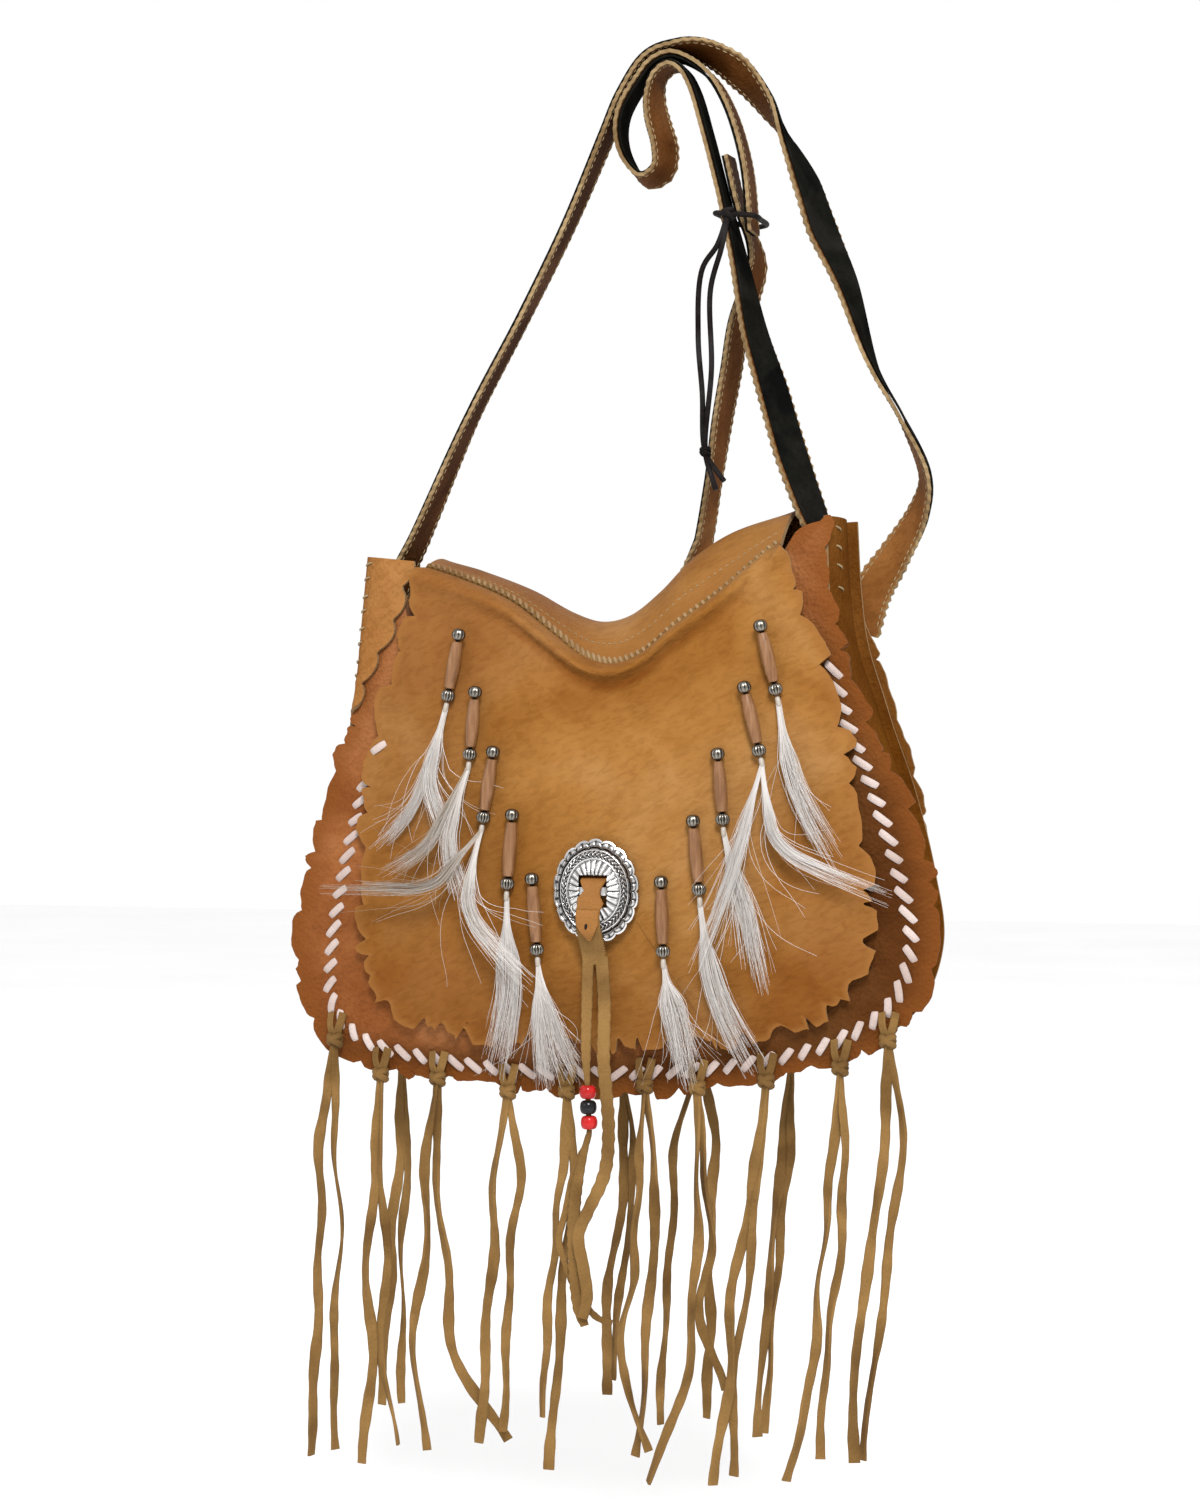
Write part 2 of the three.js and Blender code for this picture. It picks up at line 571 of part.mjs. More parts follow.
function signedVolume(points, triangles) {
  let six = 0;
  for (const [a, b, c] of triangles) {
    six += points[a].dot(new THREE.Vector3().crossVectors(points[b], points[c]));
  }
  return six / 6;
}

function closedGeometry(points, triangles) {
  const outwards = signedVolume(points, triangles) > 0;
  const faces = outwards ? triangles : triangles.map(([a, b, c]) => [a, c, b]);
  return geometryOf(points, faces);
}

// A sheet of leather: a middle surface given a thickness, its border walled
function thicken(points, triangles, thickness) {
  const normals = points.map(() => new THREE.Vector3());
  const borders = new Map();
  for (const [a, b, c] of triangles) {
    const side = new THREE.Vector3().subVectors(points[b], points[a]);
    const other = new THREE.Vector3().subVectors(points[c], points[a]);
    const face = side.cross(other);
    for (const corner of [a, b, c]) normals[corner].add(face);
    for (const [from, to] of [[a, b], [b, c], [c, a]]) {
      if (!borders.delete(`${to} ${from}`)) borders.set(`${from} ${to}`, [from, to]);
    }
  }
  const count = points.length;
  const half = thickness / 2;
  normals.forEach((normal) => normal.normalize());
  const upper = points.map((point, i) => point.clone().addScaledVector(normals[i], half));
  const lower = points.map((point, i) => point.clone().addScaledVector(normals[i], -half));
  const faces = [...triangles];
  for (const [a, b, c] of triangles) faces.push([a + count, c + count, b + count]);
  for (const [from, to] of borders.values()) {
    faces.push([to, from, from + count]);
    faces.push([to, from + count, to + count]);
  }
  return closedGeometry([...upper, ...lower], faces);
}

// A body from rings of corners, each ring the same length, capped at both ends or joined into a loop
function lofted(rings, looped = false) {
  const sides = rings[0].length;
  const points = rings.flat();
  const triangles = [];
  const steps = looped ? rings.length : rings.length - 1;
  for (let i = 0; i < steps; i += 1) {
    const next = (i + 1) % rings.length;
    for (let j = 0; j < sides; j += 1) {
      const side = (j + 1) % sides;
      const [a, b] = [i * sides + j, i * sides + side];
      const [c, d] = [next * sides + j, next * sides + side];
      const far = 2 * j >= sides;
      if (far) triangles.push([a, b, c], [b, d, c]);
      else triangles.push([a, b, d], [a, d, c]);
    }
  }
  if (!looped) {
    const end = (rings.length - 1) * sides;
    for (let j = 1; j < sides - 1; j += 1) {
      triangles.push([0, j + 1, j], [end, end + j, end + j + 1]);
    }
  }
  return closedGeometry(points, triangles);
}

function routeOf(rows, looped = false) {
  const points = rows.map((row) => new THREE.Vector3(row.x, row.y, row.z));
  return new THREE.CatmullRomCurve3(points, looped, "centripetal");
}

// Width and face directions of a flat strip; no turn lays its width along Y
function stripFrame(along, turn) {
  const level = new THREE.Vector3(0, 1, 0).addScaledVector(along, -along.y).normalize();
  const other = new THREE.Vector3().crossVectors(along, level);
  const across = level.multiplyScalar(Math.cos(turn)).addScaledVector(other, Math.sin(turn));
  const face = new THREE.Vector3().crossVectors(across, along);
  return { across, face };
}

// A flat strip along a table of x, y, z, turn and wide, moved off its route by a shift along its face
function strip(rows, thickness, pieces, shift = 0) {
  const route = routeOf(rows);
  const rings = [];
  for (let i = 0; i <= pieces; i += 1) {
    const share = i / pieces;
    const along = route.getTangent(share);
    const { across, face } = stripFrame(along, degrees(columnAlong(rows, "turn", share)));
    const half = columnAlong(rows, "wide", share) / 2;
    const middle = route.getPoint(share).addScaledVector(face, shift);
    const corner = (a, b) =>
      middle.clone().addScaledVector(across, a * half).addScaledVector(face, (b * thickness) / 2);
    rings.push([corner(-1, -1), corner(1, -1), corner(1, 1), corner(-1, 1)]);
  }
  return lofted(rings);
}

// A round cord along a table of x, y and z
function cord(rows, radius, pieces, looped = false) {
  const sides = 8;
  const route = routeOf(rows, looped);
  const rings = [];
  const ringCount = looped ? pieces : pieces + 1;
  const sideways = looped ? new THREE.Vector3(0, 0, 1) : new THREE.Vector3(0, 1, 0);
  for (let i = 0; i < ringCount; i += 1) {
    const share = i / pieces;
    const along = route.getTangent(share);
    const across = sideways.clone().addScaledVector(along, -sideways.dot(along)).normalize();
    const other = new THREE.Vector3().crossVectors(along, across);
    const middle = route.getPoint(share);
    const ring = [];
    for (let j = 0; j < sides; j += 1) {
      const angle = (2 * Math.PI * j) / sides;
      const corner = middle.clone().addScaledVector(across, radius * Math.cos(angle));
      ring.push(corner.addScaledVector(other, radius * Math.sin(angle)));
    }
    rings.push(ring);
  }
  return lofted(rings, looped);
}

// A turned body about Z from rows of radius and height
function turned(profile, sides) {
  const points = profile.map(([radius, height]) => new THREE.Vector2(radius, height));
  const geometry = new THREE.LatheGeometry(points, sides);
  geometry.rotateX(Math.PI / 2);
  return geometry;
}

// Joining and cutting
function solid(geometry) {
  const bare = new THREE.BufferGeometry();
  bare.setAttribute("position", geometry.getAttribute("position"));
  bare.setIndex(geometry.index);
  const merged = mergeVertices(bare, 1e-4);
  const mesh = new wasm.Mesh({
    numProp: 3,
    vertProperties: merged.getAttribute("position").array,
    triVerts: new Uint32Array(merged.index.array),
  });
  return new wasm.Manifold(mesh);
}

function geometryOfSolid(made) {
  const mesh = made.getMesh();
  const geometry = new THREE.BufferGeometry();
  geometry.setAttribute("position", new THREE.Float32BufferAttribute(mesh.vertProperties, 3));
  geometry.setIndex([...mesh.triVerts]);
  return geometry;
}

function joined(geometries) {
  return geometryOfSolid(geometries.map(solid).reduce((all, one) => all.add(one)));
}

// Lacing line and the rounding of the two walls inside it
const seam = outlineCurve(SEAM_ROWS);
const seamZ = reader(DIP_ROWS, "x", "seam");
const crestZ = reader(DIP_ROWS, "x", "crest");
const RADIUS_SAMPLES = 160;
const MOUTH_ROWS = [
  { x: 0, z: -262 },
  { x: 60, z: -243 },
];

function radiusRows() {
  const row = (x, z) => {
    const down = BODY_CENTRE_Z - z;
    return { angle: Math.atan2(x, down), radius: Math.hypot(x, down) };
  };
  const rows = [];
  for (let i = 0; i <= RADIUS_SAMPLES; i += 1) {
    const point = seam.getPointAt(i / RADIUS_SAMPLES);
    rows.push(row(point.x - BAG_X, point.z));
  }
  const [middle, shoulder] = MOUTH_ROWS.map(({ x, z }) => row(x, z));
  const mirrored = ({ angle, radius }) => ({ angle: -angle, radius });
  rows.unshift(mirrored(middle), mirrored(shoulder));
  rows.push(shoulder, middle);
  return rows;
}
const RADIUS_ROWS = radiusRows();

// Share of the way from the middle of the body to the lacing line
function shareOfSeam(x, z) {
  const down = BODY_CENTRE_Z - z;
  const angle = Math.atan2(x - BAG_X, down);
  let i = 0;
  while (i < RADIUS_ROWS.length - 2 && angle > RADIUS_ROWS[i + 1].angle) i += 1;
  const [a, b] = [RADIUS_ROWS[i], RADIUS_ROWS[i + 1]];
  const radius = mix(a.radius, b.radius, clamp((angle - a.angle) / (b.angle - a.angle), 0, 1));
  const distance = Math.hypot(x - BAG_X, down);
  return { share: distance / radius, past: Math.max(distance - radius, 0) };
}

function frontY(x, z) {
  const { share, past } = shareOfSeam(x, z);
  const slim = mix(1, MOUTH_SLIM, smooth(z, MOUTH_LOW_Z, MOUTH_HIGH_Z));
  const bulge = FRONT_BULGE * slim * (1 - Math.min(share, 1) ** 2);
  return FRONT_SEAM_Y - bulge + LIP_SWEEP * past;
}

function backY(x, z) {
  const { share, past } = shareOfSeam(x, z);
  const bulge = BACK_BULGE * (1 - Math.min(share, 1) ** 2);
  const seamY = mix(BACK_SEAM_Y, BACK_FOOT_Y, smooth(-z, -BACK_HIGH_Z, -BACK_LOW_Z));
  return seamY + bulge - LIP_SWEEP * past * 0.5;
}

// A sheet spread from its middle to a closed outline of three points a lobe
function spread(outline, centre, shares, place) {
  const lobes = outline.length / 3;
  const points = [place(centre.x, centre.z)];
  const triangles = [];
  const ring = (share) => {
    const first = points.length;
    for (let j = 0; j < lobes; j += 1) {
      const edge = outline[3 * j];
      points.push(place(mix(centre.x, edge.x, share), mix(centre.z, edge.z, share)));
    }
    return first;
  };
  const firsts = shares.map(ring);
  const outer = points.length;
  outline.forEach((edge) => points.push(place(edge.x, edge.z)));
  for (let j = 0; j < lobes; j += 1) {
    const next = (j + 1) % lobes;
    triangles.push([0, firsts[0] + j, firsts[0] + next]);
    for (let k = 1; k < firsts.length; k += 1) {
      const [a, b] = [firsts[k - 1] + j, firsts[k - 1] + next];
      const [c, d] = [firsts[k] + j, firsts[k] + next];
      triangles.push([a, c, d], [a, d, b]);
    }
    const inner = firsts[firsts.length - 1];
    const rim = (k) => outer + ((3 * j + k) % outline.length);
    triangles.push([inner + j, rim(0), rim(1)], [inner + j, rim(1), inner + next]);
    triangles.push([inner + next, rim(1), rim(2)], [inner + next, rim(2), rim(3)]);
  }
  return { points, triangles };
}

// Depth of each hand-cut scallop and its shift along the edge
const scallopSize = (j) => SCALLOP_DEPTH * (1 + 0.28 * Math.sin(2.4 * j) + 0.14 * Math.sin(5.1 * j));
const scallopShift = (j) => 0.14 * Math.sin(1.7 * j) + 0.08 * Math.sin(4.3 * j);

// Scalloped free edge along a curve; lip gives the way out, bite says where the scallops are concave, and
// crowd packs them closer along the bottom
function scalloped(curve, lobes, lip, bite, crowd = 0) {
  const edge = [];
  for (let j = 0; j < lobes; j += 1) {
    for (let k = 0; k < 3; k += 1) {
      const shift = j > 0 ? scallopShift(j + k / 3) : 0;
      const even = (j + k / 3 + shift) / lobes;
      const share = even + (crowd * Math.sin(2 * Math.PI * even)) / (2 * Math.PI);
      const bump = k === 0 ? 0 : scallopSize(j);
      const out = bite(share) ? scallopSize(j) - bump : bump;
      edge.push(movedOut(curve, share, lip(share) + out));
    }
  }
  return edge;
}

// Points along the open top of a panel, from right to left
function topEdge(rightX, leftX, lobes, height) {
  const edge = [];
  for (let i = 0; i < 3 * lobes; i += 1) {
    const x = mix(rightX, leftX, i / (3 * lobes - 1));
    edge.push({ x: BAG_X + x, z: height(x) });
  }
  return edge;
}

// Front panel
const lipOut = reader(LIP_ROWS, "at", "lip");
function frontPanel() {
  const edge = scalloped(seam, FRONT_LOBES, lipOut, () => false);
  const rising = reader(MOUTH_RISE_ROWS, "x", "z");
  const hidden = (x) => Math.min(seamZ(x) - MOUTH_DROP, MOUTH_EDGE_Z);
  const top = topEdge(104, -104, 7, (x) => (x > MOUTH_RISE_ROWS[0].x ? rising(x) : hidden(x)));
  const centre = { x: BAG_X, z: BODY_CENTRE_Z };
  const place = (x, z) => new THREE.Vector3(x, frontY(x, z), z);
  const sheet = spread([...edge, ...top], centre, [0.48, 0.84], place);
  return thicken(sheet.points, sheet.triangles, LEATHER);
}

// Strip over the crest: where the back wall leaves the plane and where a share of the strip lies
function stripPoint(x, share) {
  const crest = crestZ(x - BAG_X);
  const foot = crest - CREST_SET_BACK;
  const wall = backY(x, foot);
  const rest = 1 - share;
  const weights = [rest ** 3, 3 * rest * rest * share, 3 * rest * share * share, share ** 3];
  const ys = [wall, wall, STRIP_SEAM_Y + 20, STRIP_SEAM_Y];
  const zs = [foot, crest + 6, crest + 3, seamZ(x - BAG_X)];
  const blend = (values) => values.reduce((sum, value, i) => sum + value * weights[i], 0);
  return new THREE.Vector3(x, blend(ys), blend(zs));
}

// Back panel with its top strip, laid out flat as X and height and then bent over the crest
const backLipOut = reader(BACK_LIP_ROWS, "at", "lip");
function backPanel() {
  const flatTop = (x) => crestZ(x) - CREST_SET_BACK + STRIP_LENGTH;
  const edge = scalloped(seam, BACK_LOBES, backLipOut, () => false);
  const corner = (x, rise) => ({ x: BAG_X + x, z: crestZ(x) - CREST_SET_BACK + rise });
  const right = [corner(100, -2), corner(84, 6), corner(STRIP_RIGHT_X + 1, 30)];
  const left = [corner(STRIP_LEFT_X - 1, 30), corner(STRIP_LEFT_X - 3, 6), corner(-104, -2)];
  const top = topEdge(STRIP_RIGHT_X, STRIP_LEFT_X, 7, flatTop);
  const place = (x, z) => {
    const rise = z - (crestZ(x - BAG_X) - CREST_SET_BACK);
    if (rise <= 0) return new THREE.Vector3(x, backY(x, z), z);
    return stripPoint(x, rise / STRIP_LENGTH);
  };
  const centre = { x: BAG_X, z: BODY_CENTRE_Z };
  const outline = [...edge, ...right, ...top, ...left];
  const sheet = spread(outline, centre, [0.42, 0.68, 0.78, 0.87, 0.94], place);
  return thicken(sheet.points, sheet.triangles, LEATHER);
}

// Gusset: front allowance, corner, rounded side wall, corner and back allowance at each section
const WALL_GAP = (LEATHER + GUSSET_LEATHER) / 2 + 2 * GAP;
const corner = reader(ALLOWANCE_ROWS, "at", "corner");
const allowanceTurn = reader(ALLOWANCE_ROWS, "at", "turn");
const allowanceWide = reader(ALLOWANCE_ROWS, "at", "wide");
const backCorner = reader(ALLOWANCE_ROWS, "at", "back");

function gussetSection(share) {
  const turn = degrees(allowanceTurn(share));
  const wide = Math.max(allowanceWide(share), 1.5);
  const front = movedOut(seam, share, corner(share));
  const tip = movedOut(seam, share, corner(share) + wide * Math.cos(turn));
  const back = movedOut(seam, share, backCorner(share));
  const backTip = movedOut(seam, share, backCorner(share) * 0.7 + BACK_ALLOWANCE);
  const standoff = WALL_GAP + EAR_EASE * Math.sin(turn / 2) ** 2;
  const frontOf = (at) => frontY(at.x, at.z) + standoff * Math.cos(turn);
  const backOf = (at) => backY(at.x, at.z) - WALL_GAP;
  const section = [
    new THREE.Vector3(tip.x, frontOf(tip) - wide * Math.sin(turn), tip.z),
    new THREE.Vector3(front.x, frontOf(front), front.z),
  ];
  for (const way of [0.3, 0.7]) {
    const out = mix(corner(share), backCorner(share), way) + GUSSET_BULGE;
    const at = movedOut(seam, share, out);
    section.push(new THREE.Vector3(at.x, mix(frontOf(front), backOf(back), way), at.z));
  }
  section.push(new THREE.Vector3(back.x, backOf(back), back.z));
  section.push(new THREE.Vector3(backTip.x, backOf(backTip), backTip.z));
  return section;
}

function gusset() {
  const sections = [];
  for (let i = 0; i <= GUSSET_SECTIONS; i += 1) sections.push(gussetSection(i / GUSSET_SECTIONS));
  const across = sections[0].length;
  const triangles = [];
  for (let i = 0; i < GUSSET_SECTIONS; i += 1) {
    for (let j = 0; j < across - 1; j += 1) {
      const [a, b] = [i * across + j, i * across + j + 1];
      const [c, d] = [a + across, b + across];
      triangles.push([a, b, d], [a, d, c]);
    }
  }
  return thicken(sections.flat(), triangles, GUSSET_LEATHER);
}

// Flap: rolls forward out of the pinked seam and hangs over the front panel
const rollForward = reader(ROLL_ROWS, "along", "forward");
const rollDrop = reader(ROLL_ROWS, "along", "drop");
const FLAP_SEAM_Y = STRIP_SEAM_Y - 3;

function hangingY(x, z) {
  return frontY(x, z) - FLAP_STANDOFF;
}

function flapPoint(x, z) {
  const top = seamZ(x - BAG_X);
  const along = Math.max(top + ROLL_ALLOWANCE - z, 0);
  const height = top - rollDrop(along);
  const rolled = FLAP_SEAM_Y - rollForward(along);
  const settled = smooth(along, 14, 46);
  return new THREE.Vector3(x, mix(rolled, hangingY(x, height), settled), height);
}

function flap() {
  const curve = outlineCurve(FLAP_ROWS);
  const bottom = (share) => share > 0.4 && share < 0.64;
  const edge = scalloped(curve, FLAP_LOBES, () => -1, bottom, FLAP_CROWD);
  const top = topEdge(STRIP_RIGHT_X - 1, STRIP_LEFT_X + 3, 9, (x) => seamZ(x) + ROLL_ALLOWANCE);
  const centre = { x: BAG_X, z: FLAP_CENTRE_Z };
  const sheet = spread([...edge, ...top], centre, [0.42, 0.7, 0.84, 0.93], flapPoint);
  return thicken(sheet.points, sheet.triangles, LEATHER);
}

// Outer face of the flap, where the ornaments lie
const faceY = (x, z) => flapPoint(x, z).y - LEATHER / 2;

// Straps of leather with a black lining sewn to one face
function strap(rows, pieces, leatherSide) {
  const wide = rows.map((row) => ({ ...row, wide: STRAP_WIDTH }));
  const leatherShift = (leatherSide * (STRAP_LINING + GAP)) / 2;
  const liningShift = (-leatherSide * (STRAP_LEATHER + GAP)) / 2;
  return {
    leather: strip(wide, STRAP_LEATHER, pieces, leatherShift),
    lining: strip(wide, STRAP_LINING, pieces, liningShift),
  };
}

// Black lace
function strapLace() {
  const strand = (name) => LACE_STRAND_ROWS.filter((row) => row.strand === name);
  const knot = new THREE.IcosahedronGeometry(3, 0);
  knot.translate(33, -22, -79);
  const endKnot = new THREE.IcosahedronGeometry(2.6, 0);
  endKnot.translate(20, -14, -190);
  const wrap = cord(LACE_WRAP_ROWS, LACE_RADIUS, 8, true);
  const long = cord(strand("long"), LACE_RADIUS, 7);
  const short = cord(strand("short"), LACE_RADIUS, 6);
  return joined([wrap, knot, long, short, endKnot]);
}

// Hair-pipe drops
function dropFrame(row) {
  const top = new THREE.Vector3(row.top_x, 0, row.top_z);
  const low = new THREE.Vector3(row.low_x, 0, row.low_z);
  const off = Math.max(PIPE_RADIUS, BEAD_RADIUS) + GAP - (row.sink ?? 0);
  const faces = [0, 0.5, 1].map((share) => faceY(mix(top.x, low.x, share), mix(top.z, low.z, share)));
  const front = Math.min(...faces);
  top.y = front - off;
  low.y = front - off;
  const up = new THREE.Vector3().subVectors(top, low);
  const middle = new THREE.Vector3().addVectors(top, low).multiplyScalar(0.5);
  const spin = new THREE.Quaternion().setFromUnitVectors(new THREE.Vector3(0, 0, 1), up.clone().normalize());
  const matrix = new THREE.Matrix4().compose(middle, spin, new THREE.Vector3(1, 1, 1));
  return { matrix, reach: up.length() / 2 };
}

function dropBeads(frame) {
  const { matrix, reach } = frame;
  const shoulder = BEAD_HALF * 0.5;
  const profile = [
    [0, -reach - BEAD_HALF],
    [BEAD_RADIUS, -reach - shoulder],
    [BEAD_RADIUS, -reach + shoulder],
    [CORE_RADIUS, -reach + BEAD_HALF],
    [CORE_RADIUS, reach - BEAD_HALF],
    [BEAD_RADIUS, reach - shoulder],
    [BEAD_RADIUS, reach + shoulder],
    [0, reach + BEAD_HALF],
  ];
  return turned(profile, TURNED_SIDES).applyMatrix4(matrix);
}

function dropPipe(frame) {
  const { matrix, reach } = frame;
  const half = reach - BEAD_HALF - GAP - 0.2;
  const profile = [
    [PIPE_BORE, -half],
    [PIPE_END_RADIUS, -half],
    [PIPE_RADIUS, 0],
    [PIPE_END_RADIUS, half],
    [PIPE_BORE, half],
    [PIPE_BORE, -half],
  ];
  return turned(profile, TURNED_SIDES).applyMatrix4(matrix);
}

function dropTassel(row, frame) {
  const { matrix, reach } = frame;
  const top = -reach - BEAD_HALF - GAP;
  const profile = [
    [0, top - HEAD_LENGTH],
    [HEAD_RADIUS * 0.8, top - HEAD_LENGTH],
    [HEAD_RADIUS, top - 1],
    [HEAD_RADIUS * 0.7, top],
    [0, top],
  ];
  const head = turned(profile, 6).applyMatrix4(matrix);
  const root = new THREE.Vector3(0, 0, top - HEAD_LENGTH * 0.6).applyMatrix4(matrix);
  const locks = LOCK_ROWS.filter((lock) => lock.drop === row.name).map((lock) => {
    const at = (x, drop, wide, lift) => {
      const z = root.z - drop;
      return { x: root.x + x, y: faceY(root.x + x, z) - lift, z, wide, turn: 90 };
    };
    const rows = [
      { x: root.x, y: root.y, z: root.z, wide: 2.6, turn: 90 },
      at(lock.mid_x * 0.45, lock.mid_drop * 0.5, lock.wide * 0.8, lock.lift),
      at(lock.mid_x, lock.mid_drop, lock.wide, lock.lift),
      at(mix(lock.mid_x, lock.tip_x, 0.5), mix(lock.mid_drop, lock.tip_drop, 0.55), 0.8 * lock.wide, lock.lift),
      at(lock.tip_x, lock.tip_drop, lock.wide * 0.35, lock.lift),
    ];
    return strip(rows, 2.4, 4);
  });
  return joined([head, ...locks]);
}

// Concho
const conchoHeight = reader(CONCHO_ROWS, "share", "height");
const conchoBackY = faceY(CONCHO_X, CONCHO_Z) - CONCHO_STANDOFF;

function concho() {
  const outline = [];
  const samples = 3 * CONCHO_LOBES;
  for (let i = 0; i < samples; i += 1) {
    const angle = (2 * Math.PI * i) / samples;
    const reach = i % 3 === 0 ? 0.94 : 1;
    outline.push({
      x: CONCHO_X + CONCHO_HALF_WIDTH * reach * Math.cos(angle),
      z: CONCHO_Z + CONCHO_HALF_HEIGHT * reach * Math.sin(angle),
    });
  }
  const place = (x, z) => {
    const share = Math.hypot((x - CONCHO_X) / CONCHO_HALF_WIDTH, (z - CONCHO_Z) / CONCHO_HALF_HEIGHT);
    return new THREE.Vector3(x, conchoBackY - conchoHeight(share), z);
  };
  const centre = { x: CONCHO_X, z: CONCHO_Z };
  const sheet = spread(outline, centre, [0.36, 0.58, 0.7, 0.84], place);
  const plate = solid(thicken(sheet.points, sheet.triangles, CONCHO_THICKNESS));
  const slot = (rise) => {
    const box = new THREE.BoxGeometry(SLOT_WIDTH, 30, SLOT_HEIGHT);
    box.translate(CONCHO_X, conchoBackY - 5, CONCHO_Z + rise);
    return solid(box);
  };
  return geometryOfSolid(plate.subtract(slot(SLOT_SPACING / 2)).subtract(slot(-SLOT_SPACING / 2)));
}

// Thong through the concho and its two tails
const thongBackY = faceY(CONCHO_X, CONCHO_Z) - GAP - SUEDE / 2;
const tailRow = (row) => ({ ...row, y: thongBackY - row.out, turn: 90 });

function conchoThong() {
  const onConcho = (row) => tailRow({ ...row, x: CONCHO_X + row.shift, z: CONCHO_Z + row.z });
  const band = strip(THONG_ROWS.map(onConcho), SUEDE, 22);
  const point = strip(POINT_ROWS.map(onConcho), SUEDE, 6);
  const left = strip(LEFT_TAIL_ROWS.map(tailRow), SUEDE, 26);
  const lower = strip(LOWER_TAIL_ROWS.map(tailRow), SUEDE, 6);
  const right = strip(RIGHT_TAIL_ROWS.map(tailRow), SUEDE, 12);
  return joined([band, point, left, lower, right]);
}

function ponyBead(row) {
  const tail = LEFT_TAIL_ROWS.map(tailRow);
  const route = routeOf(tail);
  let best = 0;
  for (let i = 0; i <= 200; i += 1) {
    const nearer = Math.abs(route.getPoint(i / 200).z - row.z) < Math.abs(route.getPoint(best).z - row.z);
    if (nearer) best = i / 200;
  }
  const middle = route.getPoint(best);
  const profile = [
    [PONY_HOLE, -PONY_HALF],
    [PONY_RADIUS, -PONY_HALF * 0.55],
    [PONY_RADIUS, PONY_HALF * 0.55],
    [PONY_HOLE, PONY_HALF],
    [PONY_HOLE, -PONY_HALF],
  ];
  return turned(profile, TURNED_SIDES).translate(middle.x, middle.y, row.z);
}

// Fringe: a knot on the panel's edge with a short loop above it and strips hanging from it
function fringe(row) {
  const front = row.side === "front";
  const way = front ? -1 : 1;
  const wall = front ? frontY(row.x, row.z) : backY(row.x, row.z);
  const standoff = LEATHER / 2 + GAP + 0.4;
  const knotY = wall + way * (standoff + KNOT_RADIUS);
  const knot = new THREE.IcosahedronGeometry(KNOT_RADIUS, 0);
  knot.scale(1.1, 1, 1);
  knot.translate(row.x, knotY, row.z);
  const loopTop = row.z + 13;
  const loopWall = front ? frontY(row.x, loopTop) : backY(row.x, loopTop);
  const loop = strip(
    [
      { x: row.x, y: knotY, z: row.z, wide: 5, turn: 90 },
      { x: row.x, y: mix(knotY, loopWall, 0.5) + way * 1.2, z: row.z + 7, wide: 5, turn: 90 },
      { x: row.x, y: loopWall + way * (standoff + SUEDE / 2), z: loopTop, wide: 4, turn: 90 },
    ],
    SUEDE,
    2,
  );
  const strips = STRIP_ROWS.filter((one) => `fringe_${one.knot}` === row.name).map((one) => {
    const across = [row.x, one.quarter, one.half, one.most, one.end];
    const rows = across.map((x, i) => {
      const share = i / (across.length - 1);
      return {
        x,
        y: knotY + way * one.out * share,
        z: mix(row.z, one.low, share),
        wide: i === 0 ? one.wide * 0.7 : one.wide,
        turn: mix(90, one.twist, Math.min(2 * share, 1)),
      };
    });
    return strip(rows, SUEDE, 6);
  });
  return joined([knot, loop, ...strips]);
}

// Assembly
const bag = new THREE.Group();
const LEATHERS = {
  russet: { color: 0x8a4520, roughness: 0.62, metalness: 0 },
  tan: { color: 0xb07a3c, roughness: 0.6, metalness: 0 },
  olive: { color: 0x84602f, roughness: 0.66, metalness: 0 },
  strap: { color: 0xa5753f, roughness: 0.7, metalness: 0 },
  black: { color: 0x14110d, roughness: 0.75, metalness: 0 },
  suede: { color: 0x8f6c3a, roughness: 0.92, metalness: 0 },
};
const METAL = { color: 0x6d6558, roughness: 0.38, metalness: 0.9 };
const SILVER = { color: 0xb9b4a8, roughness: 0.3, metalness: 1 };
const BONE = { color: 0xc9a07c, roughness: 0.42, metalness: 0 };
const HAIR = { color: 0xd8d2c6, roughness: 0.8, metalness: 0 };

function add(name, geometry, look) {
  const mesh = new THREE.Mesh(geometry, new THREE.MeshStandardMaterial(look));
  mesh.name = name;
  bag.add(mesh);
}

add("front_panel", frontPanel(), LEATHERS.russet);
add("back_panel", backPanel(), LEATHERS.olive);
add("gusset", gusset(), LEATHERS.olive);
add("flap", flap(), LEATHERS.tan);

const STRAPS = [
  { name: "strap_left", rows: STRAP_LEFT_ROWS, pieces: 32, leatherSide: 1 },
  { name: "strap_right", rows: STRAP_RIGHT_ROWS, pieces: 42, leatherSide: -1 },
  { name: "strap_back", rows: STRAP_BACK_ROWS, pieces: 14, leatherSide: -1 },
];
for (const { name, rows, pieces, leatherSide } of STRAPS) {
  const { leather, lining } = strap(rows, pieces, leatherSide);
  add(name, leather, LEATHERS.strap);
  add(`${name}_lining`, lining, LEATHERS.black);
}
add("strap_lace", strapLace(), LEATHERS.black);

for (const row of DROP_ROWS) {
  const frame = dropFrame(row);
  add(`drop_${row.name}_beads`, dropBeads(frame), METAL);
  add(`drop_${row.name}_hair_pipe`, dropPipe(frame), BONE);
  add(`drop_${row.name}_tassel`, dropTassel(row, frame), HAIR);
}

add("concho", concho(), SILVER);
add("concho_thong", conchoThong(), LEATHERS.suede);
for (const row of PONY_ROWS) {
  add(row.name, ponyBead(row), { color: row.colour, roughness: 0.25, metalness: 0 });
}
for (const row of KNOT_ROWS) add(row.name, fringe(row), LEATHERS.suede);

export default bag;
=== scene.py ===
import math

